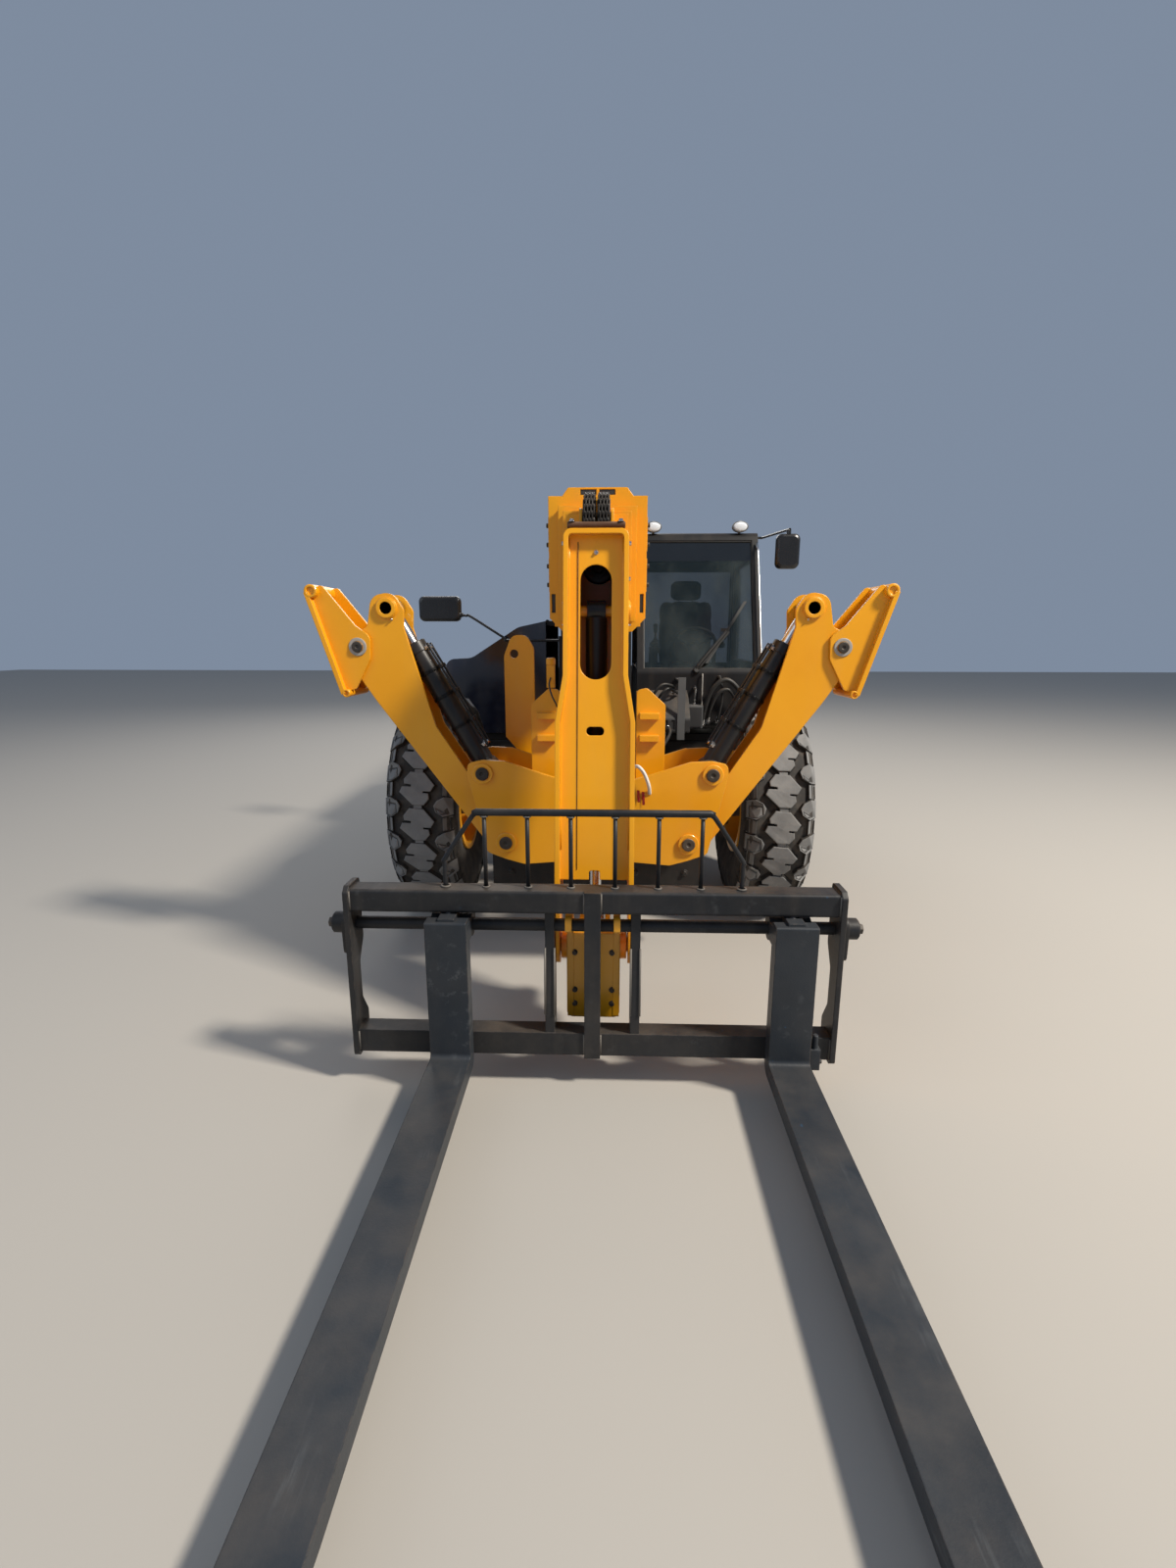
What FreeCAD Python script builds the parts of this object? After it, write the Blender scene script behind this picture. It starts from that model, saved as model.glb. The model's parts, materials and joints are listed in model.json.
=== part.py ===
import FreeCAD, Part
import math
import os

# Telehandler, standing on level ground with its boom down. Millimetres.
# +Z is up, the forks point to -Y, and the cab is on +X, the machine's own left.
# Side outlines use "ahead": the distance in front of the front axle.

os.makedirs("parts", exist_ok=True)
V = FreeCAD.Vector
UP = V(0, 0, 1)
LEFT = V(1, 0, 0)
BACK = V(0, 1, 0)

# Overall layout
WHEELBASE = 3100.0
FORK_FACE_AHEAD = 2060.0
FORK_LENGTH = 1830.0
TAIL_BEHIND_REAR_AXLE = 1200.0
TOTAL_LENGTH = FORK_FACE_AHEAD + FORK_LENGTH + WHEELBASE + TAIL_BEHIND_REAR_AXLE
FRONT_AXLE_Y = FORK_FACE_AHEAD + FORK_LENGTH - TOTAL_LENGTH / 2
TAIL_PLATE_BEHIND = 980.0
REAR_AXLE = -WHEELBASE
RUNNING_FIT = 0.08
SEAT_GAP = 0.3
WORKING_GAP = 6.0

# Wheels, axles and steering
TYRE_RADIUS = 660.0
TYRE_SHOULDER = 34.0
TYRE_BULGE_RADIUS = TYRE_RADIUS * 0.76
TYRE_WIDTH = 400.0
TREAD_PITCHES = 13
TREAD_DEPTH = 30.0
LUG_LENGTH = 190.0
LUG_WIDTH = 104.0
LUG_SKEW = 22.0
LUG_REACH = LUG_LENGTH / 2 + LUG_SKEW / 2
# across, and the share of a pitch that the column is turned
LUG_COLUMNS = [(-127.0, 0.0), (0.0, 0.5), (127.0, 0.0)]
BEAD_RADIUS = 304.0
RIM_WIDTH = 340.0
RIM_WALL = 14.0
RIM_FLANGE = 22.0
WHEEL_X = 1020.0
KINGPIN_X = 770.0
KINGPIN_RADIUS = 28.0
SPINDLE_RADIUS = 70.0
HUB_RADIUS = 150.0
AXLE_TUBE_RADIUS = 85.0
DIFF_RADIUS = 170.0
KNUCKLE_HEIGHT = 220.0
YOKE_PLATE = 35.0
YOKE_WIDTH = 130.0
AXLE_Z = TYRE_RADIUS

# Main side plates of the chassis, and what hangs from them
SIDE_PLATE_X = 250.0
SIDE_PLATE_WALL = 40.0
RAIL_TOP = 1000.0
RAIL_BOTTOM = 560.0
RAIL_OVER_AXLE = 790.0
TOWER_TOP = 2395.0
BELLY_WALL = 12.0
AXLE_ARCH_HALF = 190.0
COUNTERWEIGHT_HALF = 900.0
COUNTERWEIGHT_LOW = 760.0
COUNTERWEIGHT_HIGH = 1330.0
OUTRIGGER_FRONT = -1000.0
OUTRIGGER_LOW = 905.0
OUTRIGGER_REACH = 1120.0
OUTRIGGER_HEIGHT = 50.0
OUTRIGGER_DEPTH = 70.0
TANK_FRONT = -TYRE_RADIUS - 350.0
TANK_REAR = REAR_AXLE + TYRE_RADIUS + 200.0
TANK_INNER_X = 420.0
TANK_LOW = 480.0
TOWER_BOSS = 18.0
TOWER_PLATE_FRONT = 760.0
TOWER_PLATE_WALL = 25.0
STEP_OUTER_X = 1200.0

# Boom, along its own axis from the rear pivot
PIVOT_AHEAD = REAR_AXLE - 600.0
PIVOT_Z = 2250.0
BOOM_SLOPE = 2.9
PIVOT_PIN_RADIUS = 45.0
PIVOT_HUB_RADIUS = 115.0
BOOM_START = 230.0
PAD_GAP = 0.5
COLLAR_LENGTH = 130.0
COLLAR_PROUD = 22.0
COLLAR_CHAMFER = 58.0
INNER_COLLAR_LENGTH = 30.0
INNER_COLLAR_PROUD = 4.0
BLOCK_HALF = 152.0
BLOCK_RISE = 34.0
BOOM_CHEEK = 14.0
BOOM_OUTER_FRONT = 1230.0
# name, half width, half height, wall, front end beyond the outer section's
BOOM_SECTIONS = [
    ("boom_outer", 190.0, 260.0, 12.0, 0.0),
    ("boom_mid_1", 163.0, 233.0, 10.0, 45.0),
    ("boom_mid_2", 140.0, 208.0, 9.0, 90.0),
    ("boom_inner", 118.0, 184.0, 8.0, 145.0),
]
SECTION_START_STEP = 90.0

# Lift cylinder
LIFT_BASE_AHEAD = REAR_AXLE - 20.0
LIFT_BASE_Z = 950.0
LIFT_EYE_ALONG = 2320.0
LIFT_EYE_BELOW = 365.0
LIFT_BARREL_RADIUS = 90.0
LIFT_ROD_RADIUS = 52.0
LIFT_PIN_RADIUS = 38.0
LIFT_EYE_RADIUS = 78.0
LIFT_EYE_HALF = 60.0
LIFT_ROD_OUT = 263.0
LIFT_LUG = 30.0

# Boom head, called the gooseneck here, and its tilt cylinder
NECK_TOP_HALF = 128.0
NECK_BOTTOM_HALF = 158.0
NECK_PLATE = 20.0
NECK_TOP_Z = 2108.0
NECK_FLARE_TOP_Z = 1550.0
NECK_FLARE_BOTTOM_Z = 1370.0
NECK_FRONT_TOP = 1550.0
NECK_FRONT_BOTTOM = 1760.0
NECK_WEB_BOTTOM_Z = 740.0
NECK_REAR = 1336.0
NECK_WEB_INSET = 35.0
NECK_WEB = 12.0
NECK_LOW_Z = 300.0
NECK_CORNER = 32.0
NECK_SOCKET = 300.0
PIN_BOSS = 8.0
# half width, low, high, corner radius: sight hole, slot, and a notch in the bottom edge
NECK_HOLES = [(62.0, 1531.0, 1974.0, 61.5), (35.0, 1312.0, 1347.0, 16.0), (22.0, 700.0, 776.0, 10.0)]
ROLLER_AHEAD = 1452.0
ROLLER_Z = 2170.0
ROLLER_RADIUS = 60.0
ROLLER_HALF = 54.0
ROLLER_BORE = 12.0
ROLLER_RIBS = 5
ROLLER_GROOVE = 7.0
ROLLER_LUG = 12.0
TILT_AHEAD = 1700.0
TILT_Z = 450.0
TILT_PIN_RADIUS = 30.0
TILT_BOSS_RADIUS = 85.0
TILT_LEVER = 240.0
TILT_BASE_AHEAD = 1430.0
TILT_BASE_Z = 1800.0
TILT_BASE_PIN_RADIUS = 22.0
TILT_BARREL_RADIUS = 45.0
TILT_ROD_RADIUS = 26.0
TILT_EYE_RADIUS = 42.0
TILT_EYE_HALF = 38.0
TILT_ROD_OUT = 450.0

# Cylinder ends
GLAND_PROUD = 6.0
GLAND_LENGTH = 50.0
CUSHION = 45.0

# Hitch between the head and the fork carriage
HITCH_HUB_RADIUS = 58.0
HITCH_EAR = 22.0
HITCH_CHEEK_INNER = 78.0
HITCH_CHEEK_OUTER = 103.0
HITCH_FACE = (1812.0, 1840.0)
HITCH_FACE_LOW = 200.0
HITCH_FACE_HIGH = 560.0

# Fork carriage
CARRIAGE_HALF = 915.0
CARRIAGE_FRONT = 2000.0
BEAM_LOW = 704.0
BEAM_HIGH = 791.0
BEAM_DEPTH = 95.0
RAIL_LOW = 133.0
RAIL_HIGH = 224.0
RAIL_DEPTH = 80.0
SIDE_WALL = 20.0
SIDE_LOW = 116.0
SHAFT_AHEAD = 1930.0
SHAFT_Z = 635.0
SHAFT_RADIUS = 24.0
LOBE_WALL = 22.0
SHAFT_BOSS = 65.0
CARRIAGE_WEB = (143.0, 178.0)
FORK_WIDTH = 152.0
FORK_THICK = 60.0
FORK_TIP_THICK = 14.0
FORK_TOP_Z = 150.0
FORK_SHANK_TOP = 690.0
# name, place across
FORKS = [("fork_right", 385.0 - CARRIAGE_HALF), ("fork_left", CARRIAGE_HALF - 185.0)]
GUARD_BAR_RADIUS = 11.0
GUARD_TOP_RADIUS = 14.0
GUARD_TOP_Z = 1076.0
GUARD_SHOULDER_Z = 895.0
GUARD_AHEAD = 1950.0
GUARD_BARS = [81.0, 239.0, 396.0, 546.0]
GUARD_TOP_HALF = 430.0

# Stabilizers
STAB_FRONT = 1160.0
STAB_REAR = 870.0
STAB_PLATE = 20.0
REAR_PLATE_RISE = 22.0
LEG_FRONT = 1100.0
LEG_REAR = 930.0
LEG_WALL = 15.0
LEG_PIN = (440.0, 720.0)
LEG_CYLINDER_PIN = (545.0, 1060.0)
LEG_EYE = (980.0, 1826.0)
FOOT_PIN = (1120.0, 1650.0)
FOOT_PIN_RADIUS = 26.0
FOOT_WALL = 12.0
FOOT_CLEARANCE = 4.0
LEG_HUB_RADIUS = 68.0
BRACKET_INNER = 190.0
BRACKET_OUTER = 332.0
LEG_PIN_RADIUS = 32.0
LEG_BARREL_RADIUS = 52.0
LEG_ROD_RADIUS = 30.0
LEG_EYE_RADIUS = 46.0
LEG_ROD_OUT = 191.0

# Cab
CAB_INNER_X = 262.0
CAB_OUTER_X = 1200.0
CAB_FLOOR = 1000.0
CAB_ROOF = 2490.0
CAB_FRONT_LOW = -905.0
CAB_FRONT_HIGH = -1330.0
CAB_REAR = REAR_AXLE + TYRE_RADIUS + 190.0
CAB_DEPTH = CAB_FRONT_LOW - CAB_REAR
CAB_SILL = 1430.0
CAB_WALL = 45.0
GLASS = 6.0
PILLAR = 48.0
WINDOW_LOW = CAB_SILL + 30.0
WINDOW_HIGH = CAB_ROOF - 62.0
DOOR_REAR = CAB_REAR + 140.0
DOOR_LOW = 1060.0
DOOR_HIGH = CAB_ROOF - 120.0
DOOR_WALL = 40.0
DOOR_GAP = 6.0
DOOR_HINGE_OUT = 16.0
DOOR_HINGE_HEIGHTS = (DOOR_LOW + 190.0, DOOR_HIGH - 220.0)
DOOR_HINGE_RADIUS = 13.0
GLASS_INSET = 16.0
SEAT_BASE_TOP = CAB_FLOOR + 0.22 * (CAB_ROOF - CAB_FLOOR)
SEAT_HEIGHT = 0.57 * (CAB_ROOF - CAB_FLOOR)
SEAT_GAP_BEHIND = 0.12 * CAB_DEPTH
CUSHION_DEPTH = 0.37 * CAB_DEPTH
CUSHION_FRONT = CAB_REAR + SEAT_GAP_BEHIND + CUSHION_DEPTH + 0.08 * CAB_DEPTH
COLUMN_REACH = 0.21 * CAB_DEPTH
WHEEL_RIM_RADIUS = 180.0
COWL_FRONT = -620.0
COWL_INNER_X = 330.0
COWL_OUTER_X = 640.0
COWL_SLOTS = 4
LAMP_PLACES = (389.0, 1060.0)
LAMP_RADIUS = 38.0

# Engine side
HOOD_OUTER_X = 1200.0
HOOD_FRONT = -950.0
HOOD_REAR = CAB_REAR
HOOD_LOW = 960.0
HOOD_HINGE_X = 430.0
HOOD_HINGE_Z = 1810.0
HOOD_WALL = 8.0
HOOD_SIDE_HIGH = 1525.0
KNUCKLE_RADIUS = 14.0
KNUCKLE_LENGTH = 60.0
HINGE_PIN_RADIUS = 6.0
KNUCKLE_PLACES = (0.18, 0.5, 0.82)
POD_WALL = 20.0
MIRROR_REACH = 1375.0
MIRROR_ARM_RADIUS = 11.0
MIRROR_DEPTH = 45.0
# width, low and high
LEFT_MIRROR = (166.0, 2162.0, 2398.0)
LEFT_MIRROR_AHEAD = -700.0
RIGHT_MIRROR = (316.0, 1806.0, 1990.0)
RIGHT_MIRROR_AHEAD = -888.0
POST_AHEAD = HOOD_FRONT + 80.0
POST_OUTER = 325.0

shapes = {}


def ahead(distance):
    return FRONT_AXLE_Y - distance


def round_wire(points, radii):
    # A closed outline with an arc in each corner whose radius is not zero.
    count = len(points)
    starts = []
    ends = []
    mids = []
    for i in range(count):
        p = points[i]
        radius = radii[i]
        if radius <= 0:
            starts.append(p)
            ends.append(p)
            mids.append(None)
            continue
        to_last = (points[i - 1] - p).normalize()
        to_next = (points[(i + 1) % count] - p).normalize()
        half = to_last.getAngle(to_next) / 2
        reach = radius / math.tan(half)
        middle = (to_last + to_next).normalize()
        centre = p + middle * (radius / math.sin(half))
        starts.append(p + to_last * reach)
        ends.append(p + to_next * reach)
        mids.append(centre - middle * radius)
    edges = []
    for i in range(count):
        if mids[i] is not None:
            edges.append(Part.Arc(starts[i], mids[i], ends[i]).toShape())
        following = starts[(i + 1) % count]
        if (following - ends[i]).Length > 1e-6:
            edges.append(Part.makeLine(ends[i], following))
    return Part.Wire(edges)


def corner_radii(rows):
    return [row[2] if len(row) > 2 else 0.0 for row in rows]


def front_plate(rows, front, rear):
    # rows: x, z and an optional corner radius; the plate lies between two distances ahead.
    wire = round_wire([V(r[0], ahead(front), r[1]) for r in rows], corner_radii(rows))
    return Part.Face(wire).extrude(V(0, front - rear, 0))


def side_plate(rows, x_low, x_high):
    # rows: ahead, z and an optional corner radius; the plate lies between two places across.
    wire = round_wire([V(x_low, ahead(r[0]), r[1]) for r in rows], corner_radii(rows))
    return Part.Face(wire).extrude(V(x_high - x_low, 0, 0))


def top_plate(rows, z_low, z_high):
    # rows: x, ahead and an optional corner radius.
    wire = round_wire([V(r[0], ahead(r[1]), z_low) for r in rows], corner_radii(rows))
    return Part.Face(wire).extrude(V(0, 0, z_high - z_low))


def block(x_low, x_high, front, rear, z_low, z_high):
    return Part.makeBox(x_high - x_low, front - rear, z_high - z_low, V(x_low, ahead(front), z_low))


def bar(start, end, radius):
    return Part.makeCylinder(radius, (end - start).Length, start, end - start)


def cross_bar(x_low, x_high, forward, z, radius):
    return Part.makeCylinder(radius, x_high - x_low, V(x_low, ahead(forward), z), LEFT)


def pair_plate(rows, side, near, far):
    # A side plate on one side of the machine, from near to far off its middle.
    return side_plate(rows, min(side * near, side * far), max(side * near, side * far))


def pair_bar(side, near, far, forward, z, radius):
    return cross_bar(min(side * near, side * far), max(side * near, side * far), forward, z, radius)


def pair_block(side, near, far, front, rear, z_low, z_high):
    return block(min(side * near, side * far), max(side * near, side * far), front, rear, z_low, z_high)


def long_bar(x, z, front, rear, radius):
    return Part.makeCylinder(radius, front - rear, V(x, ahead(front), z), BACK)


def spin(rows, centre, side):
    # rows: distance outboard of the centre and radius, turned about the wheel's own axle.
    points = [V(centre.x + side * r[0], centre.y, centre.z + r[1]) for r in rows]
    wire = round_wire(points, corner_radii(rows))
    return Part.Face(wire).revolve(centre, LEFT, 360)


def fuse(parts):
    first = parts[0]
    if len(parts) == 1:
        return first
    return first.fuse(parts[1:]).removeSplitter()


def cut(solid, tools):
    return solid.cut(tools)


def mirrored(shape):
    return shape.mirror(V(0, 0, 0), LEFT)


def sided(rows, side):
    return [(side * r[0],) + tuple(r[1:]) for r in rows]


def on_boom(along, above, x=0.0):
    # A point given along the boom and above its centre line, at its parked slope.
    slope = math.radians(BOOM_SLOPE)
    forward = along * math.cos(slope) + above * math.sin(slope)
    rise = above * math.cos(slope) - along * math.sin(slope)
    return V(x, ahead(PIVOT_AHEAD + forward), PIVOT_Z + rise)


def sloped(shape):
    copy = shape.copy()
    copy.rotate(V(0, ahead(PIVOT_AHEAD), PIVOT_Z), LEFT, BOOM_SLOPE)
    return copy


def boom_block(half, start, end, low, high, x_shift=0.0):
    corner = V(x_shift - half, ahead(PIVOT_AHEAD + end), PIVOT_Z + low)
    return Part.makeBox(2 * half, end - start, high - low, corner)


def keep(name, shape):
    shapes[name] = shape


# Wheels and axles: a carcass in flat facets, two to a pitch, with three columns of lugs on it
def wheel_point(centre, across, radius, angle):
    return centre + V(across, radius * math.cos(angle), radius * math.sin(angle))


def make_carcass(centre):
    half = TYRE_WIDTH / 2
    bead = RIM_WIDTH / 2 - RIM_WALL - SEAT_GAP
    seat = BEAD_RADIUS + SEAT_GAP
    flange = BEAD_RADIUS + RIM_FLANGE + WORKING_GAP
    # distance across and radius, from one bead round to the other
    rows = [(bead, seat), (bead, flange), (half, TYRE_BULGE_RADIUS),
            (half - TYRE_SHOULDER, TYRE_RADIUS - TREAD_DEPTH)]
    rows += [(-across, radius) for across, radius in reversed(rows)]
    steps = 2 * TREAD_PITCHES
    # the bore's facets touch the rim's circle with their middles, so that they stay clear of it
    widened = 1 / math.cos(math.pi / steps)
    rows = [(across, radius * widened if radius <= seat else radius) for across, radius in rows]
    faces = []
    for step in range(steps):
        near = 2 * math.pi * step / steps
        far = 2 * math.pi * (step + 1) / steps
        for row, this in enumerate(rows):
            last = rows[row - 1]
            corners = [wheel_point(centre, last[0], last[1], near), wheel_point(centre, this[0], this[1], near),
                       wheel_point(centre, this[0], this[1], far), wheel_point(centre, last[0], last[1], far)]
            faces.append(Part.Face(Part.makePolygon(corners + corners[:1])))
    return Part.makeSolid(Part.makeShell(faces))


def make_lug(centre, middle, angle):
    # A skewed block whose outer corners lie on the tyre's full radius.
    top = math.sqrt(TYRE_RADIUS ** 2 - LUG_REACH ** 2)
    out = V(0, math.cos(angle), math.sin(angle))
    along = V(0, -math.sin(angle), math.cos(angle))
    corners = []
    for aside, forward in ((1, 1), (-1, 1), (-1, -1), (1, -1)):
        reach = forward * LUG_LENGTH / 2 + aside * LUG_SKEW / 2
        corners.append(centre + LEFT * (middle + aside * LUG_WIDTH / 2) + along * reach + out * top)
    face = Part.Face(Part.makePolygon(corners + corners[:1]))
    return face.extrude(out * -(TREAD_DEPTH + 15))


def make_tyre(centre):
    lugs = []
    # one corner of a lug points straight down, so that the tyre stands on the ground
    start = -math.pi / 2 - math.asin(LUG_REACH / TYRE_RADIUS)
    for middle, turn in LUG_COLUMNS:
        for pitch in range(TREAD_PITCHES):
            lugs.append(make_lug(centre, middle, start + 2 * math.pi * (pitch + turn) / TREAD_PITCHES))
    return make_carcass(centre).fuse(lugs)


def make_rim(centre, side):
    edge = RIM_WIDTH / 2
    seat = BEAD_RADIUS
    inner = seat - RIM_WALL
    rows = [(-edge, seat + RIM_FLANGE), (-edge, inner), (30, inner), (50, HUB_RADIUS + 40),
            (20, HUB_RADIUS), (-60, HUB_RADIUS), (-60, SPINDLE_RADIUS + RUNNING_FIT),
            (0, SPINDLE_RADIUS + RUNNING_FIT), (0, 0), (130, 0), (130, HUB_RADIUS - 40, 10),
            (64, HUB_RADIUS, 10), (64, HUB_RADIUS + 40), (50, inner), (edge, inner),
            (edge, seat + RIM_FLANGE), (edge - RIM_WALL, seat + RIM_FLANGE), (edge - RIM_WALL, seat),
            (-edge + RIM_WALL, seat), (-edge + RIM_WALL, seat + RIM_FLANGE)]
    return spin(rows, centre, side)


def make_knuckle(axle_y, side):
    pin_x = side * KINGPIN_X
    low = AXLE_Z - KNUCKLE_HEIGHT / 2
    housing = Part.makeCylinder(75, KNUCKLE_HEIGHT, V(pin_x, axle_y, low), UP)
    pin_low = low - YOKE_PLATE - 10
    pin = Part.makeCylinder(KINGPIN_RADIUS, KNUCKLE_HEIGHT + 2 * YOKE_PLATE + 20,
                            V(pin_x, axle_y, pin_low), UP)
    spindle = bar(V(pin_x, axle_y, AXLE_Z), V(side * (WHEEL_X - 2), axle_y, AXLE_Z), SPINDLE_RADIUS)
    flange = bar(V(pin_x, axle_y, AXLE_Z), V(side * (WHEEL_X - 80), axle_y, AXLE_Z), 100)
    arm = Part.makeBox(60, 200, 36, V(pin_x - 30, axle_y, AXLE_Z - 60))
    return fuse([housing, pin, spindle, flange, arm])


def make_axle(axle_y):
    parts = []
    bulge = [(-210, 0), (-210, 90), (-150, DIFF_RADIUS - 20, 40), (0, DIFF_RADIUS, 60),
             (150, DIFF_RADIUS - 20, 40), (210, 90), (210, 0)]
    parts.append(spin(bulge, V(0, axle_y, AXLE_Z), 1))
    yoke_root = KINGPIN_X - 130
    parts.append(bar(V(-yoke_root, axle_y, AXLE_Z), V(yoke_root, axle_y, AXLE_Z), AXLE_TUBE_RADIUS))
    height = KNUCKLE_HEIGHT / 2 + SEAT_GAP
    for side in (-1, 1):
        root = Part.makeBox(50, YOKE_WIDTH, 2 * (height + YOKE_PLATE),
                            V(side * (yoke_root + 5) - 25, axle_y - YOKE_WIDTH / 2,
                              AXLE_Z - height - YOKE_PLATE))
        parts.append(root)
        for low in (height, -height - YOKE_PLATE):
            reach = KINGPIN_X - yoke_root
            middle = side * (yoke_root + reach / 2)
            arm = Part.makeBox(reach, YOKE_WIDTH, YOKE_PLATE,
                               V(middle - reach / 2, axle_y - YOKE_WIDTH / 2, AXLE_Z + low))
            tip = Part.makeCylinder(YOKE_WIDTH / 2, YOKE_PLATE, V(side * KINGPIN_X, axle_y, AXLE_Z + low), UP)
            parts += [arm, tip]
    axle = fuse(parts)
    bores = []
    for side in (-1, 1):
        bores.append(Part.makeCylinder(KINGPIN_RADIUS + RUNNING_FIT, 2 * KNUCKLE_HEIGHT,
                                       V(side * KINGPIN_X, axle_y, AXLE_Z - KNUCKLE_HEIGHT), UP))
        bores.append(Part.makeCylinder(82, KNUCKLE_HEIGHT + 2 * SEAT_GAP,
                                       V(side * KINGPIN_X, axle_y, AXLE_Z - height), UP))
    for side in (-1, 1):
        pad_x = side * (SIDE_PLATE_X + SIDE_PLATE_WALL / 2)
        pad_base = AXLE_Z + AXLE_TUBE_RADIUS - 30
        axle = axle.fuse(Part.makeBox(SIDE_PLATE_WALL + 40, 160, RAIL_OVER_AXLE - pad_base,
                                      V(pad_x - SIDE_PLATE_WALL / 2 - 20, axle_y - 80, pad_base)))
    return cut(axle, bores)


plain_tyre = make_tyre(V(0, 0, 0))
AXLES = [("front", FRONT_AXLE_Y), ("rear", FRONT_AXLE_Y + WHEELBASE)]
SIDES = [("right", -1), ("left", 1)]
for axle_name, axle_y in AXLES:
    keep(axle_name + "_axle", make_axle(axle_y))
    for side_name, side in SIDES:
        place = axle_name + "_" + side_name
        hub = V(side * WHEEL_X, axle_y, AXLE_Z)
        tyre = plain_tyre.copy()
        tyre.translate(hub)
        keep("tyre_" + place, tyre)
        keep("rim_" + place, make_rim(hub, side))
        keep("knuckle_" + place, make_knuckle(axle_y, side))


# Chassis: two side plates that rise at the rear into the boom's pivot towers
def make_chassis():
    over = AXLE_ARCH_HALF
    raised = RAIL_BOTTOM + 60
    tail = REAR_AXLE - TAIL_PLATE_BEHIND
    outline = [(STAB_REAR, raised), (STAB_REAR, RAIL_TOP), (REAR_AXLE - 150, RAIL_TOP, 200),
               (PIVOT_AHEAD + 170, TOWER_TOP, 90), (PIVOT_AHEAD - 190, TOWER_TOP, 90),
               (tail, 1350, 60), (tail, raised),
               (REAR_AXLE - over - 80, raised), (REAR_AXLE - over, RAIL_OVER_AXLE),
               (REAR_AXLE + over, RAIL_OVER_AXLE), (REAR_AXLE + over + 80, RAIL_BOTTOM),
               (-over - 80, RAIL_BOTTOM), (-over, RAIL_OVER_AXLE), (over, RAIL_OVER_AXLE),
               (over + 80, raised)]
    parts = []
    plate_outer = SIDE_PLATE_X + SIDE_PLATE_WALL
    for side in (-1, 1):
        parts.append(pair_plate(outline, side, SIDE_PLATE_X, plate_outer))
    # cross members and belly: front, rear, low z, high z
    crossings = [(STAB_REAR, STAB_REAR - 40, raised, 900),
                 (-over - 100, REAR_AXLE + over + 130, RAIL_BOTTOM, RAIL_BOTTOM + BELLY_WALL),
                 (-900, -960, RAIL_BOTTOM, 700), (REAR_AXLE - 460, REAR_AXLE - 500, 700, 1000),
                 (tail + 40, tail, raised, 1900)]
    for front, rear, low, high in crossings:
        parts.append(block(-SIDE_PLATE_X, SIDE_PLATE_X, front, rear, low, high))
    parts.append(cross_bar(-SIDE_PLATE_X, SIDE_PLATE_X, LIFT_BASE_AHEAD, LIFT_BASE_Z, LIFT_PIN_RADIUS))
    tower_outer = plate_outer + TOWER_BOSS
    parts.append(cross_bar(-tower_outer, tower_outer, PIVOT_AHEAD, PIVOT_Z, PIVOT_PIN_RADIUS))
    for side in (-1, 1):
        parts.append(pair_bar(side, plate_outer, tower_outer, PIVOT_AHEAD, PIVOT_Z, PIVOT_HUB_RADIUS))
    # outriggers that carry the cab on the left and the engine on the right
    for front in (OUTRIGGER_FRONT, TANK_REAR + 90):
        for side in (-1, 1):
            parts.append(pair_block(side, plate_outer, OUTRIGGER_REACH, front, front - OUTRIGGER_DEPTH,
                                    OUTRIGGER_LOW, OUTRIGGER_LOW + OUTRIGGER_HEIGHT))
    return fuse(parts)


keep("chassis_frame", make_chassis())

tail_plate = REAR_AXLE - TAIL_PLATE_BEHIND
tail_end = REAR_AXLE - TAIL_BEHIND_REAR_AXLE
weight_outline = [(tail_plate, COUNTERWEIGHT_LOW, 40), (tail_plate, COUNTERWEIGHT_HIGH, 60),
                  (tail_end + 100, COUNTERWEIGHT_HIGH, 60), (tail_end, COUNTERWEIGHT_HIGH - 90, 60),
                  (tail_end, COUNTERWEIGHT_LOW + 60, 60), (tail_end + 60, COUNTERWEIGHT_LOW, 40)]
keep("counterweight", side_plate(weight_outline, -COUNTERWEIGHT_HALF, COUNTERWEIGHT_HALF))
pod_rear = HOOD_REAR + HOOD_WALL + WORKING_GAP
pod_low = OUTRIGGER_LOW + OUTRIGGER_HEIGHT
pod_top = pod_low + POD_WALL
keep("engine_pod", fuse([block(-OUTRIGGER_REACH - 60, -300, HOOD_FRONT - 70, pod_rear, pod_low, pod_top),
                         block(-300 - POD_WALL, -300, HOOD_FRONT - 70, pod_rear, pod_low, 1500)]))
keep("engine_block", block(-1000, -450, HOOD_FRONT - 250, HOOD_REAR + 200, pod_top + SEAT_GAP, 1480))
tank_top = OUTRIGGER_LOW - SEAT_GAP
tank_profile = [(TANK_FRONT, TANK_LOW, 60), (TANK_FRONT, tank_top, 20), (TANK_REAR, tank_top, 20),
                (TANK_REAR, TANK_LOW, 60)]
tank = side_plate(tank_profile, TANK_INNER_X, STEP_OUTER_X - 40)
step = block(STEP_OUTER_X - 220, STEP_OUTER_X, TANK_FRONT - 290, TANK_FRONT - 790, 600, 760)
keep("fuel_tank", tank.cut(step))
keep("hydraulic_tank", mirrored(side_plate(tank_profile, TANK_INNER_X, STEP_OUTER_X - 100)))


# Tower plate and head brackets beside the boom
def make_tower():
    rows = [(-490, 1180), (-335, 1000), (-335, 1640, 60), (-375, 1705, 40), (-450, 1705, 50), (-490, 1600, 40)]
    front = TOWER_PLATE_FRONT
    rear = front - TOWER_PLATE_WALL
    plate = front_plate(rows, front, rear)
    foot = block(-345, -SIDE_PLATE_X - SIDE_PLATE_WALL, front, rear, 800, 1200)
    hole = long_bar(-438, 1610, front + 40, rear - 35, 22)
    return cut(fuse([plate, foot]), [hole])


keep("tower_plate", make_tower())


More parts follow.
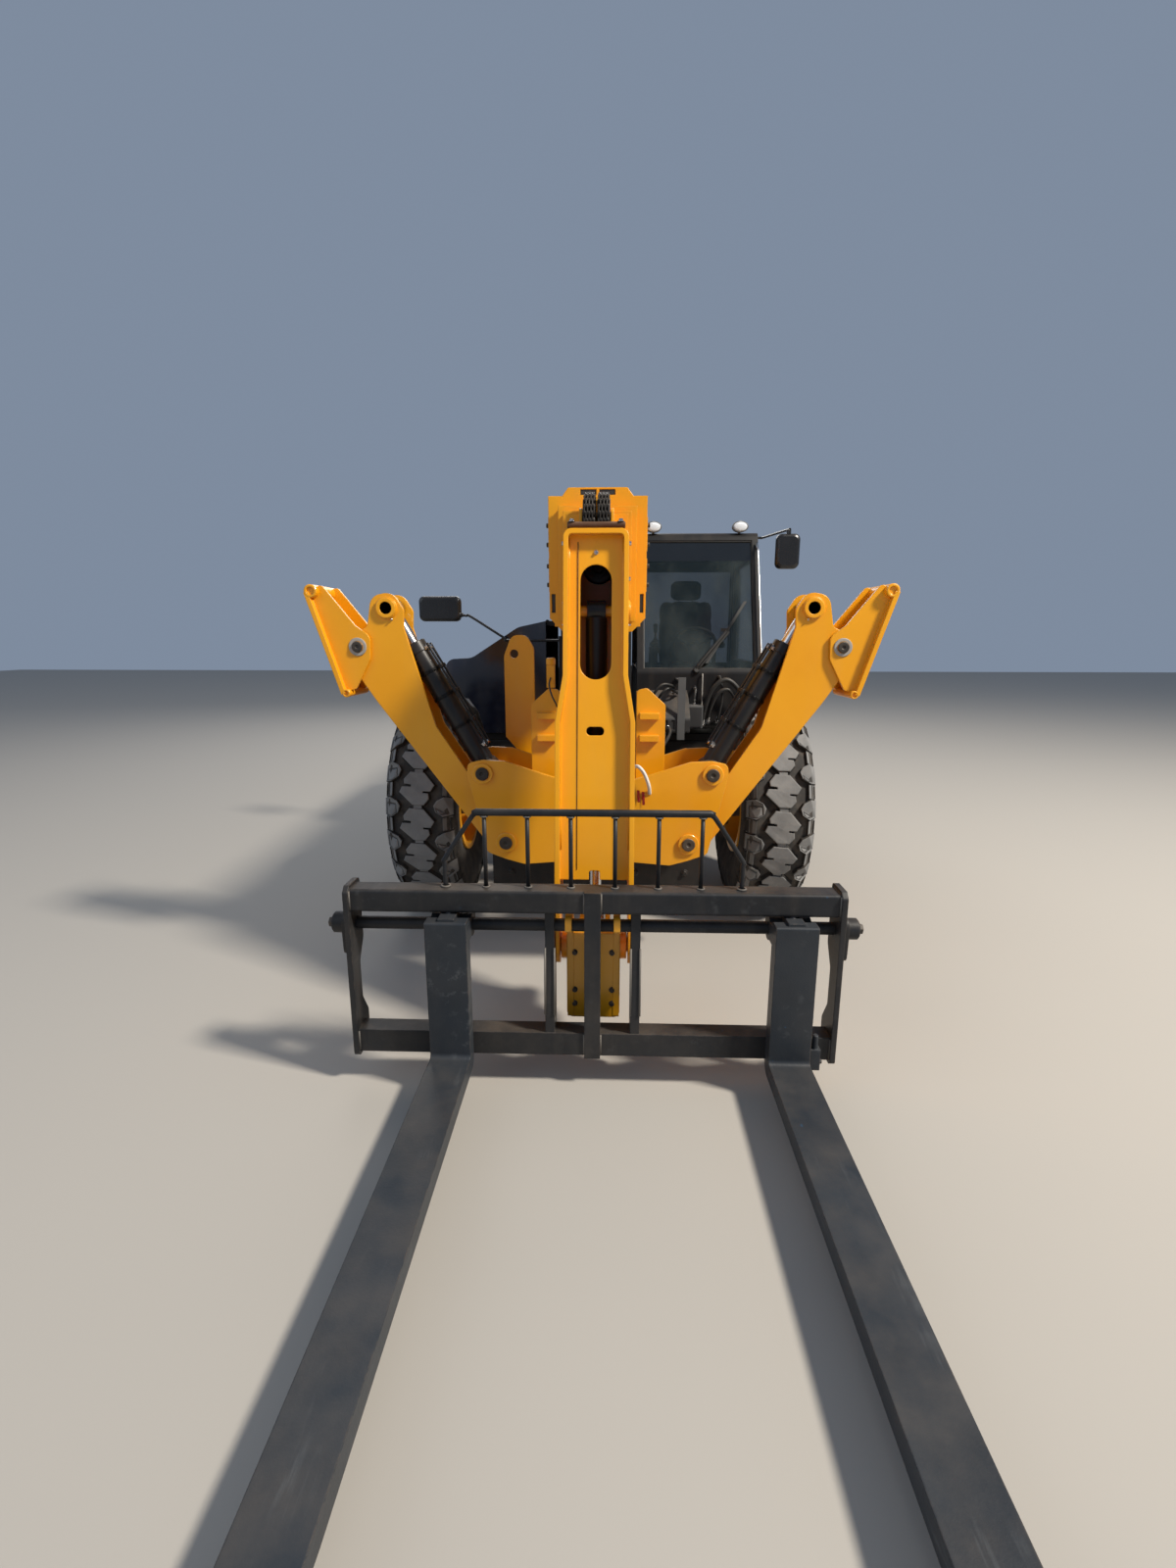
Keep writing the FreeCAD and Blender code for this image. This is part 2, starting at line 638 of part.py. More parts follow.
# Boom: four box sections, each sliding in the one before
def boom_plate(rows, start, end):
    # rows: across and above the boom's centre line; the plate lies between two distances from the pivot.
    raised = [(row[0], PIVOT_Z + row[1]) + tuple(row[2:]) for row in rows]
    return front_plate(raised, PIVOT_AHEAD + end, PIVOT_AHEAD + start)


def collar_corners(half, rise, start, end):
    corners = []
    for side in (-1, 1):
        rows = [(side * (half - COLLAR_CHAMFER), -rise), (side * (half + 1), -rise + COLLAR_CHAMFER + 1),
                (side * (half + 1), -rise - 1), (side * (half - COLLAR_CHAMFER), -rise - 1)]
        corners.append(boom_plate(rows, start - 1, end + 1))
    return corners


def make_section(index):
    half, rise, wall, beyond = BOOM_SECTIONS[index][1:]
    end = BOOM_OUTER_FRONT - PIVOT_AHEAD + beyond
    start = BOOM_START + index * SECTION_START_STEP
    tube = boom_block(half, start, end, -rise, rise)
    tube = tube.cut(boom_block(half - wall, start - 1, end + 1, -rise + wall, rise - wall))
    parts = [tube]
    if index + 1 < len(BOOM_SECTIONS):
        inner_half, inner_rise = BOOM_SECTIONS[index + 1][1:3]
        proud = COLLAR_PROUD if index == 0 else INNER_COLLAR_PROUD
        back = end - (COLLAR_LENGTH if index == 0 else INNER_COLLAR_LENGTH)
        collar = boom_block(half + proud, back, end, -rise - proud, rise + proud)
        if index == 0:
            collar = collar.cut(collar_corners(half + proud, rise + proud, back, end))
        hole_rise = inner_rise + PAD_GAP
        hole = boom_block(inner_half + PAD_GAP, back - 1, end + 1, -hole_rise, hole_rise)
        parts.append(collar.cut(hole))
    return parts


def make_boom_outer():
    half, rise, wall = BOOM_SECTIONS[0][1:4]
    parts = make_section(0)
    hub_half = SIDE_PLATE_X - WORKING_GAP
    parts.append(cross_bar(-hub_half, hub_half, PIVOT_AHEAD, PIVOT_Z, PIVOT_HUB_RADIUS))
    # cheeks from the hub along the section's sides
    root = PIVOT_AHEAD + BOOM_START
    cheek = [(PIVOT_AHEAD - 60, PIVOT_Z - 105, 30), (PIVOT_AHEAD - 60, PIVOT_Z + 105, 30),
             (root + 120, PIVOT_Z + rise), (root + 700, PIVOT_Z + rise - 60),
             (root + 700, PIVOT_Z - rise + 60), (root + 120, PIVOT_Z - rise)]
    for side in (-1, 1):
        parts.append(pair_plate(cheek, side, half - wall, half + BOOM_CHEEK))
    # lugs that hold the lift cylinder's eye between them
    eye = (PIVOT_AHEAD + LIFT_EYE_ALONG, PIVOT_Z - LIFT_EYE_BELOW)
    lug_top = PIVOT_Z - rise + wall / 2
    lug = [(eye[0] - 300, lug_top), (eye[0] - 75, eye[1] - 75, 70), (eye[0] + 75, eye[1] - 75, 70),
           (eye[0] + 300, lug_top)]
    lug_inner = LIFT_EYE_HALF + WORKING_GAP
    lug_outer = lug_inner + LIFT_LUG
    for side in (-1, 1):
        parts.append(pair_plate(lug, side, lug_inner, lug_outer))
        parts.append(pair_bar(side, lug_outer, lug_outer + 12, eye[0], eye[1], LIFT_PIN_RADIUS + 14))
    # raised block on the collar with two pockets for wear pads, and a window in each side of its front
    end = BOOM_OUTER_FRONT - PIVOT_AHEAD
    top = rise + COLLAR_PROUD
    peak = BLOCK_HALF - 26
    parts.append(boom_plate([(-BLOCK_HALF, top - 10), (-BLOCK_HALF, top), (-peak, top + BLOCK_RISE, 10),
                             (peak, top + BLOCK_RISE, 10), (BLOCK_HALF, top), (BLOCK_HALF, top - 10)],
                            end - COLLAR_LENGTH, end))
    outer = fuse(parts)
    cuts = [cross_bar(-hub_half - 5, hub_half + 5, PIVOT_AHEAD, PIVOT_Z, PIVOT_PIN_RADIUS + RUNNING_FIT)]
    for side in (-1, 1):
        middle = side * 40
        cuts.append(boom_block(34, end - 26, end + 1, top + 4, top + 26, middle))
        cuts.append(boom_block(8, end - 24, end + 1, -rise + 60, -rise + 140, side * (half + 4)))
    return sloped(outer.cut(cuts))


def neck_outline(wall, corner):
    # The head seen from the front: upright, flared, upright again, with rounded top corners.
    top = NECK_TOP_HALF - wall
    low = NECK_BOTTOM_HALF - wall
    half = [(low, NECK_LOW_Z), (low, NECK_FLARE_BOTTOM_Z), (top, NECK_FLARE_TOP_Z),
            (top, NECK_TOP_Z - wall, corner)]
    return half + [(-row[0],) + row[1:] for row in reversed(half)]


def neck_front(z):
    share = (NECK_TOP_Z - z) / (NECK_TOP_Z - NECK_WEB_BOTTOM_Z)
    return NECK_FRONT_TOP + share * (NECK_FRONT_BOTTOM - NECK_FRONT_TOP)


def make_boom_inner():
    # The inner section, closed by a bulkhead with a hole for the extension cylinder.
    half, rise, wall, beyond = BOOM_SECTIONS[3][1:]
    end = BOOM_OUTER_FRONT - PIVOT_AHEAD + beyond
    bulkhead = boom_block(half - wall, end - 420, end - 408, wall - rise, rise - wall)
    hole = Part.makeCylinder(60, 30, V(0, ahead(PIVOT_AHEAD + end - 400), PIVOT_Z), BACK)
    return sloped(fuse([make_section(3)[0], bulkhead]).cut(hole))


def make_boom_head():
    # A channel of two side plates and a top plate, with a web set back between their front edges.
    side_outline = [(NECK_REAR, 1760), (NECK_REAR, NECK_TOP_Z + 1), (NECK_FRONT_TOP, NECK_TOP_Z + 1),
                    (neck_front(NECK_WEB_BOTTOM_Z), NECK_WEB_BOTTOM_Z),
                    (TILT_AHEAD + TILT_BOSS_RADIUS, TILT_Z, 40), (TILT_AHEAD + 20, TILT_Z - TILT_BOSS_RADIUS, 50),
                    (TILT_AHEAD - 90, TILT_Z - 60, 50), (1500, 760, 120), (1350, 1560, 80)]
    envelope = side_plate(side_outline, -NECK_BOTTOM_HALF - 10, NECK_BOTTOM_HALF + 10)
    front, rear = NECK_FRONT_BOTTOM + 240, NECK_REAR - 100
    room = front_plate(neck_outline(NECK_PLATE, NECK_CORNER - NECK_PLATE + 2), front, rear)
    channel = front_plate(neck_outline(0, NECK_CORNER), front, rear).cut(room).common(envelope)
    top_inset = NECK_FRONT_TOP - NECK_WEB_INSET
    low_inset = neck_front(NECK_WEB_BOTTOM_Z) - NECK_WEB_INSET
    web_side = [(top_inset, NECK_TOP_Z - 10), (low_inset, NECK_WEB_BOTTOM_Z),
                (low_inset - NECK_WEB, NECK_WEB_BOTTOM_Z), (top_inset - NECK_WEB, NECK_TOP_Z - 10)]
    web = side_plate(web_side, -NECK_BOTTOM_HALF, NECK_BOTTOM_HALF).common(room)
    holes = []
    for half, low, high, corner in NECK_HOLES:
        rows = [(-half, low, corner), (half, low, corner), (half, high, corner), (-half, high, corner)]
        holes.append(front_plate(rows, front, NECK_FRONT_TOP - 150))
    parts = [channel, web.cut(holes)]
    parts.append(cross_bar(-NECK_BOTTOM_HALF, NECK_BOTTOM_HALF, TILT_AHEAD, TILT_Z, TILT_PIN_RADIUS))
    parts.append(cross_bar(-NECK_TOP_HALF, NECK_TOP_HALF, TILT_BASE_AHEAD, TILT_BASE_Z, TILT_BASE_PIN_RADIUS))
    for side in (-1, 1):
        for pin_ahead, pin_z, half, boss in ((TILT_AHEAD, TILT_Z, NECK_BOTTOM_HALF, 2 * TILT_PIN_RADIUS + 2),
                                             (TILT_BASE_AHEAD, TILT_BASE_Z, NECK_TOP_HALF,
                                              2 * TILT_BASE_PIN_RADIUS)):
            parts.append(pair_bar(side, half, half + PIN_BOSS, pin_ahead, pin_z, boss))
    # closing plate from the inner section's end down the back of the head
    back = [(NECK_REAR, 1780), (NECK_REAR + 14, 1780), (1364, 1560), (1372, 1500), (1358, 1500), (1350, 1560)]
    parts.append(side_plate(back, -NECK_BOTTOM_HALF, NECK_BOTTOM_HALF).common(room))
    # raised cap over the section's end, and the lugs that carry the hose rollers
    half, rise = BOOM_SECTIONS[3][1:3]
    end = BOOM_OUTER_FRONT - PIVOT_AHEAD + BOOM_SECTIONS[3][4]
    parts.append(sloped(boom_block(NECK_TOP_HALF, end - 34, end + 12, 60, rise + 10)))
    for side in (-1, 1):
        lug = [(NECK_REAR + 30, NECK_TOP_Z - 5), (ROLLER_AHEAD + 45, NECK_TOP_Z - 5),
               (ROLLER_AHEAD + 28, ROLLER_Z + 24, 20), (NECK_REAR + 30, ROLLER_Z + 24, 12)]
        parts.append(pair_plate(lug, side, ROLLER_HALF + 3, ROLLER_HALF + 3 + ROLLER_LUG))
    parts.append(cross_bar(-ROLLER_HALF - 4, ROLLER_HALF + 4, ROLLER_AHEAD, ROLLER_Z, ROLLER_BORE))
    head = fuse(parts)
    seat = rise + SEAT_GAP
    socket = sloped(boom_block(half + SEAT_GAP, end - NECK_SOCKET, end + SEAT_GAP, -seat, seat))
    return head.cut(socket)


def make_hose_rollers():
    # Two grooved rollers side by side, over which the hoses turn down into the head.
    rollers = []
    rib = (ROLLER_HALF - 3) / (2 * ROLLER_RIBS - 1)
    for side in (-1, 1):
        rows = [(3, ROLLER_BORE + SEAT_GAP)]
        for index in range(ROLLER_RIBS):
            start = 3 + 2 * index * rib
            rows += [(start, ROLLER_RADIUS), (start + rib, ROLLER_RADIUS)]
            if index + 1 < ROLLER_RIBS:
                rows += [(start + rib, ROLLER_RADIUS - ROLLER_GROOVE),
                         (start + 2 * rib, ROLLER_RADIUS - ROLLER_GROOVE)]
        rows.append((ROLLER_HALF, ROLLER_BORE + SEAT_GAP))
        rollers.append(spin(rows, V(0, ahead(ROLLER_AHEAD), ROLLER_Z), side))
    return Part.makeCompound(rollers)


keep("boom_outer", make_boom_outer())
for index in (1, 2):
    keep(BOOM_SECTIONS[index][0], sloped(fuse(make_section(index))))
keep("boom_inner", make_boom_inner())
keep("boom_head", make_boom_head())
keep("hose_rollers", make_hose_rollers())


# Cylinders: a barrel with an eye at its base, and a rod with an eye at its end
def make_barrel(base, eye, rod_out, barrel_radius, rod_radius, pin_radius, eye_radius, eye_half, across_dir):
    direction = (eye - base).normalize()
    length = (eye - base).Length - rod_out
    start = base - across_dir * eye_half
    base_eye = Part.makeCylinder(eye_radius, 2 * eye_half, start, across_dir)
    shell_start = base + direction * (eye_radius * 0.6)
    shell = Part.makeCylinder(barrel_radius, length - eye_radius * 0.6, shell_start, direction)
    gland = Part.makeCylinder(barrel_radius + GLAND_PROUD, GLAND_LENGTH,
                              base + direction * (length - GLAND_LENGTH), direction)
    body = fuse([base_eye, shell, gland])
    pin_bore = Part.makeCylinder(pin_radius + RUNNING_FIT, 2 * eye_half, start, across_dir)
    rod_bore = Part.makeCylinder(rod_radius + RUNNING_FIT, length,
                                 base + direction * (eye_radius + CUSHION), direction)
    return body.cut([pin_bore, rod_bore])


def make_rod(base, eye, rod_radius, eye_radius, eye_half, start_gap, across_dir):
    direction = (eye - base).normalize()
    start = base + direction * start_gap
    shaft = bar(start, eye, rod_radius)
    head = Part.makeCylinder(eye_radius, 2 * eye_half, eye - across_dir * eye_half, across_dir)
    return fuse([shaft, head])


lift_base = V(0, ahead(LIFT_BASE_AHEAD), LIFT_BASE_Z)
lift_eye = on_boom(LIFT_EYE_ALONG, -LIFT_EYE_BELOW)
keep("lift_barrel", make_barrel(lift_base, lift_eye, LIFT_ROD_OUT, LIFT_BARREL_RADIUS,
                                LIFT_ROD_RADIUS, LIFT_PIN_RADIUS, LIFT_EYE_RADIUS, LIFT_EYE_HALF, LEFT))
keep("lift_rod", make_rod(lift_base, lift_eye, LIFT_ROD_RADIUS, LIFT_EYE_RADIUS,
                          LIFT_EYE_HALF, LIFT_EYE_RADIUS + 60, LEFT))

tilt_base = V(0, ahead(TILT_BASE_AHEAD), TILT_BASE_Z)
tilt_eye = V(0, ahead(TILT_AHEAD - TILT_LEVER), TILT_Z)
keep("tilt_barrel", make_barrel(tilt_base, tilt_eye, TILT_ROD_OUT, TILT_BARREL_RADIUS,
                                TILT_ROD_RADIUS, TILT_BASE_PIN_RADIUS, TILT_EYE_RADIUS, TILT_EYE_HALF, LEFT))
keep("tilt_rod", make_rod(tilt_base, tilt_eye, TILT_ROD_RADIUS, TILT_EYE_RADIUS,
                          TILT_EYE_HALF, 300, LEFT))


# Hitch on the boom head, fork carriage and forks
def make_hitch():
    hub_half = NECK_BOTTOM_HALF - NECK_PLATE - WORKING_GAP
    parts = [cross_bar(-hub_half, hub_half, TILT_AHEAD, TILT_Z, HITCH_HUB_RADIUS)]
    ear_inner = TILT_EYE_HALF + WORKING_GAP
    lever = TILT_AHEAD - TILT_LEVER
    ear = [(lever - 50, TILT_Z - 50, 45), (TILT_AHEAD + 60, TILT_Z - 70), (TILT_AHEAD + 60, TILT_Z + 70, 40),
           (lever - 50, TILT_Z + 50, 45)]
    rear, front = HITCH_FACE
    low, high = HITCH_FACE_LOW, HITCH_FACE_HIGH
    cheek = [(TILT_AHEAD - 40, TILT_Z - 50, 20), (rear, low, 10), (front + 2, low, 10),
             (front + 2, SHAFT_Z - 60, 20), (SHAFT_AHEAD - 20, SHAFT_Z - 40), (SHAFT_AHEAD + 45, SHAFT_Z - 10, 10),
             (SHAFT_AHEAD + 45, SHAFT_Z + 45, 25), (SHAFT_AHEAD - 40, SHAFT_Z + 45, 25),
             (TILT_AHEAD - 20, TILT_Z + 60, 30)]
    for side in (-1, 1):
        parts.append(pair_plate(ear, side, ear_inner, ear_inner + HITCH_EAR))
        parts.append(pair_plate(cheek, side, HITCH_CHEEK_INNER, HITCH_CHEEK_OUTER))
    half = HITCH_CHEEK_OUTER + 2
    face = front_plate([(-half, low, 25), (half, low, 25), (half, high, 10), (-half, high, 10)], front, rear)
    hole = front_plate([(-28, low + 70, 12), (28, low + 70, 12), (28, low + 140, 12), (-28, low + 140, 12)],
                       front + 10, rear - 12)
    parts.append(face.cut(hole))
    solid = fuse(parts)
    bore = cross_bar(-hub_half - 5, hub_half + 5, TILT_AHEAD, TILT_Z, TILT_PIN_RADIUS + RUNNING_FIT)
    saddle = cross_bar(-hub_half, hub_half, SHAFT_AHEAD, SHAFT_Z, SHAFT_RADIUS + SEAT_GAP)
    mouth_half = SHAFT_RADIUS + SEAT_GAP
    mouth = block(-hub_half, hub_half, SHAFT_AHEAD + mouth_half, SHAFT_AHEAD - mouth_half, SHAFT_Z - 60, SHAFT_Z)
    return solid.cut([bore, saddle, mouth])


def make_carriage():
    parts = []
    rear_beam = CARRIAGE_FRONT - BEAM_DEPTH
    rear_rail = CARRIAGE_FRONT - RAIL_DEPTH
    inner = CARRIAGE_HALF - SIDE_WALL
    parts.append(side_plate([(rear_beam, BEAM_LOW, 12), (CARRIAGE_FRONT, BEAM_LOW, 12),
                             (CARRIAGE_FRONT, BEAM_HIGH, 12), (rear_beam, BEAM_HIGH, 12)], -inner, inner))
    parts.append(block(-inner, inner, CARRIAGE_FRONT, rear_rail, RAIL_LOW, RAIL_HIGH))
    outline = [(rear_beam - 20, SIDE_LOW, 20), (CARRIAGE_FRONT + 12, SIDE_LOW, 20),
               (CARRIAGE_FRONT + 12, BEAM_HIGH - 10, 15), (CARRIAGE_FRONT - 10, BEAM_HIGH + 12, 10),
               (rear_beam - 20, BEAM_HIGH + 12, 20), (rear_beam - 20, 560, 30), (rear_beam + 30, 480, 30),
               (rear_beam + 30, 330, 30), (rear_beam - 20, 250, 30)]
    lobe = [(rear_beam - 30, 560, 40), (CARRIAGE_FRONT - 20, 500, 30), (CARRIAGE_FRONT - 10, 690, 40),
            (rear_beam - 30, 690, 40)]
    web_low = RAIL_LOW + 20
    web = [(rear_rail - 30, web_low), (CARRIAGE_FRONT - 5, web_low), (CARRIAGE_FRONT - 5, 300, 20),
           (SHAFT_AHEAD + 40, 560), (SHAFT_AHEAD + 40, BEAM_LOW), (rear_rail - 30, BEAM_LOW)]
    lobe_outer = CARRIAGE_HALF + LOBE_WALL
    boss_outer = CARRIAGE_HALF + SHAFT_BOSS
    for side in (-1, 1):
        parts.append(pair_plate(outline, side, inner, CARRIAGE_HALF))
        parts.append(pair_plate(lobe, side, CARRIAGE_HALF, lobe_outer))
        parts.append(pair_bar(side, lobe_outer, boss_outer, SHAFT_AHEAD, SHAFT_Z, SHAFT_RADIUS + 16))
        parts.append(pair_plate(web, side, CARRIAGE_WEB[0], CARRIAGE_WEB[1]))
    parts.append(block(-30, 30, CARRIAGE_FRONT + 8, CARRIAGE_FRONT - 30, RAIL_LOW - 10, BEAM_HIGH))
    parts.append(block(-165, 165, rear_rail, rear_rail - 40, 140, 190))
    solid = fuse(parts)
    reach = CARRIAGE_HALF + 100
    shaft_way = cross_bar(-reach, reach, SHAFT_AHEAD, SHAFT_Z, SHAFT_RADIUS + SEAT_GAP)
    return solid.cut(shaft_way)


def make_fork(x):
    half = FORK_WIDTH / 2
    front = CARRIAGE_FRONT + SEAT_GAP + FORK_THICK
    low = FORK_TOP_Z - FORK_THICK
    tip = front + FORK_LENGTH
    back = CARRIAGE_FRONT + SEAT_GAP
    outline = [(back, FORK_SHANK_TOP, 8), (back, low, 45), (tip - 450, low),
               (tip, FORK_TOP_Z - FORK_TIP_THICK), (tip, FORK_TOP_Z), (front, FORK_TOP_Z, 18),
               (front, FORK_SHANK_TOP, 8)]
    body = side_plate(outline, x - half, x + half)
    plan = [(x - half, front - 80), (x - half, tip - 160), (x - half + 40, tip, 20), (x + half - 40, tip, 20),
            (x + half, tip - 160), (x + half, front - 80)]
    body = body.common(top_plate(plan, 0, 800))
    eye = cross_bar(x - half, x + half, SHAFT_AHEAD, SHAFT_Z, SHAFT_RADIUS + 22)
    neck = block(x - half, x + half, CARRIAGE_FRONT + 20, SHAFT_AHEAD, SHAFT_Z - 35, SHAFT_Z + 35)
    bore = cross_bar(x - half - 1, x + half + 1, SHAFT_AHEAD, SHAFT_Z, SHAFT_RADIUS + RUNNING_FIT)
    return fuse([body, eye, neck]).cut(bore)


def make_guard():
    parts = []
    base = BEAM_HIGH + SEAT_GAP
    y = ahead(GUARD_AHEAD)
    end_x = GUARD_BARS[-1]
    for side in (-1, 1):
        for x in GUARD_BARS[:-1]:
            parts.append(bar(V(side * x, y, base), V(side * x, y, GUARD_TOP_Z), GUARD_BAR_RADIUS))
        shoulder = V(side * end_x, y, GUARD_SHOULDER_Z)
        parts.append(bar(V(side * end_x, y, base), shoulder, GUARD_TOP_RADIUS))
        parts.append(Part.makeSphere(GUARD_TOP_RADIUS, shoulder))
        corner = V(side * GUARD_TOP_HALF, y, GUARD_TOP_Z)
        parts.append(bar(shoulder, corner, GUARD_TOP_RADIUS))
        parts.append(Part.makeSphere(GUARD_TOP_RADIUS, corner))
    parts.append(bar(V(-GUARD_TOP_HALF, y, GUARD_TOP_Z), V(GUARD_TOP_HALF, y, GUARD_TOP_Z), GUARD_TOP_RADIUS))
    return fuse(parts)


keep("hitch", make_hitch())
keep("fork_carriage", make_carriage())
keep("fork_shaft", cross_bar(-CARRIAGE_HALF - 10, CARRIAGE_HALF + 10, SHAFT_AHEAD, SHAFT_Z, SHAFT_RADIUS))
keep("load_guard", make_guard())
for fork_name, fork_x in FORKS:
    keep(fork_name, make_fork(fork_x))


# Stabilizers: the frame between the front wheels, two folding legs, feet and cylinders
def make_stabilizer_frame():
    half = [(170, 1033), (250, 1057), (310, 1076), (441, 1119), (543, 1124, 25), (615, 1109, 25),
            (620, 1060, 20), (533, 669, 30), (438, 634), (352, 610, 30), (173, 625)]
    # the rear plate stands a little higher than the front one
    taller = [(r[0], r[1] + (REAR_PLATE_RISE if r[1] > 1000 else 0)) + tuple(r[2:]) for r in half]
    parts = []
    pins = [LEG_PIN, LEG_CYLINDER_PIN]
    for rows, front in ((half, STAB_FRONT), (taller, STAB_REAR + STAB_PLATE)):
        full = rows + sided(list(reversed(rows)), -1)
        parts.append(front_plate(full, front, front - STAB_PLATE))
    parts.append(block(-190, 190, STAB_FRONT - 5, STAB_REAR + 5, 640, 1000))
    for side in (-1, 1):
        for x, z in pins:
            parts.append(long_bar(side * x, z, STAB_FRONT + 14, STAB_REAR - 14, LEG_PIN_RADIUS))
            parts.append(long_bar(side * x, z, STAB_FRONT + 6, STAB_FRONT, LEG_PIN_RADIUS + 16))
        # bracket beside the boom, with two tabs
        inner, outer = BRACKET_INNER, BRACKET_OUTER
        bracket = [(inner, 980), (inner, 1440, 20), (inner + 50, 1452, 20), (outer, 1370, 20), (outer, 1000)]
        parts.append(front_plate(sided(bracket, side), 960, 940))
        parts.append(pair_block(side, inner, inner + 20, 945, STAB_REAR, 980, 1430))
        for z in (1190, 1300):
            parts.append(pair_block(side, inner + 15, outer - 32, 990, 955, z, z + 30))
    return fuse(parts)


LEG_OUTLINE = [(395, 665, 60), (500, 640, 60), (1050, 1395, 60), (1185, 1600, 60), (1160, 1710, 50),
               (1075, 1740, 30), (1050, 1880, 60), (950, 1900, 60), (900, 1820, 40), (905, 1739), (853, 1556, 90),
               (773, 1275, 90), (634, 1060, 60), (385, 790, 60)]
LEG_POCKET = [(540, 740), (1020, 1400), (1040, 1640), (1120, 1960), (800, 1960), (450, 960)]
FOOT_OUTLINE = [(1140, 1455, 15), (1200, 1440, 15), (1330, 1885, 20), (1275, 1935, 20), (1125, 1745, 30),
                (1060, 1700, 45), (1065, 1595, 45)]
FOOT_SOLE = [(1183, 1436), (1203, 1430), (1345, 1893), (1325, 1899)]


def make_leg(side):
    leg = front_plate(sided(LEG_OUTLINE, side), LEG_FRONT, LEG_REAR)
    pocket = front_plate(sided(LEG_POCKET, side), LEG_FRONT - LEG_WALL, LEG_REAR + LEG_WALL)
    leg = leg.cut(pocket)
    x, z = LEG_PIN
    inside = STAB_PLATE + PAD_GAP
    hub = long_bar(side * x, z, STAB_FRONT - inside, STAB_REAR + inside, LEG_HUB_RADIUS)
    eye_x, eye_z = LEG_EYE
    heads = []
    for front, rear in ((LEG_FRONT + 10, LEG_FRONT - 2), (LEG_REAR + 2, LEG_REAR - 10)):
        boss = long_bar(side * eye_x, eye_z, front, rear, 50)
        heads.append(boss.cut(long_bar(side * eye_x, eye_z, front + 1, front - 9, 27)))
    leg = fuse([leg, hub] + heads)
    pin_way = long_bar(side * x, z, STAB_FRONT + 50, STAB_REAR - 50, LEG_PIN_RADIUS + RUNNING_FIT)
    foot_way = long_bar(side * FOOT_PIN[0], FOOT_PIN[1], LEG_FRONT + 50, LEG_REAR - 50,
                        FOOT_PIN_RADIUS + RUNNING_FIT)
    return leg.cut([pin_way, foot_way])


def make_foot(side):
    parts = []
    for front in (LEG_FRONT + FOOT_CLEARANCE + FOOT_WALL, LEG_REAR - FOOT_CLEARANCE):
        parts.append(front_plate(sided(FOOT_OUTLINE, side), front, front - FOOT_WALL))
    parts.append(front_plate(sided(FOOT_SOLE, side), LEG_FRONT + 45, LEG_REAR - 45))
    parts.append(long_bar(side * FOOT_PIN[0], FOOT_PIN[1], LEG_FRONT + 24, LEG_REAR - 24, FOOT_PIN_RADIUS))
    return fuse(parts)


keep("stabilizer_frame", make_stabilizer_frame())
leg_middle = ahead((LEG_FRONT + LEG_REAR) / 2)
for side_name, side in SIDES:
    keep("stabilizer_leg_" + side_name, make_leg(side))
    keep("stabilizer_foot_" + side_name, make_foot(side))
    base = V(side * LEG_CYLINDER_PIN[0], leg_middle, LEG_CYLINDER_PIN[1])
    eye = V(side * LEG_EYE[0], leg_middle, LEG_EYE[1])
    keep("leg_barrel_" + side_name, make_barrel(base, eye, LEG_ROD_OUT, LEG_BARREL_RADIUS, LEG_ROD_RADIUS,
                                                LEG_PIN_RADIUS, 56, 55, BACK))
    keep("leg_rod_" + side_name, make_rod(base, eye, LEG_ROD_RADIUS, LEG_EYE_RADIUS, 62, 150, BACK))


# Cab
CAB_OUTLINE = [(CAB_FRONT_LOW, CAB_FLOOR, 60), (CAB_FRONT_LOW, CAB_SILL, 60), (CAB_FRONT_HIGH, CAB_ROOF, 60),
               (CAB_REAR, CAB_ROOF, 60), (CAB_REAR, CAB_FLOOR)]
DOOR_OUTLINE = [(CAB_FRONT_LOW - 80, DOOR_LOW, 60), (CAB_FRONT_LOW - 80, CAB_SILL, 60),
                (CAB_FRONT_HIGH - 35, DOOR_HIGH, 50), (DOOR_REAR, DOOR_HIGH, 50), (DOOR_REAR, DOOR_LOW, 60)]
DOOR_PANE_REAR = DOOR_REAR + 65
DOOR_WINDOWS = [[(CAB_FRONT_LOW - 175, CAB_SILL + 70, 30), (CAB_FRONT_HIGH - 70, DOOR_HIGH - 65, 40),
                 (DOOR_PANE_REAR, DOOR_HIGH - 65, 40), (DOOR_PANE_REAR, CAB_SILL + 70, 40)],
                [(CAB_FRONT_LOW - 145, DOOR_LOW + 70, 40), (CAB_FRONT_LOW - 145, CAB_SILL + 10, 40),
                 (DOOR_PANE_REAR, CAB_SILL + 10, 40), (DOOR_PANE_REAR, DOOR_LOW + 70, 40)]]
RIGHT_WINDOW = [(CAB_FRONT_LOW - 105, WINDOW_LOW, 30), (CAB_FRONT_HIGH - 20, WINDOW_HIGH, 30),
                (CAB_REAR + 90, WINDOW_HIGH, 30), (CAB_REAR + 90, WINDOW_LOW, 30)]


def shrunk(rows, amount):
    # The same outline drawn inwards by an even amount on every side.
    wire = round_wire([V(0, r[0], r[1]) for r in rows], corner_radii(rows))
    return wire.makeOffset2D(-amount)


def side_shape(wire, x_low, x_high):
    face = Part.Face(wire)
    shape = face.extrude(V(x_high - x_low, 0, 0))
    shape = shape.mirror(V(0, 0, 0), BACK)
    shape.translate(V(x_low, FRONT_AXLE_Y, 0))
    return shape


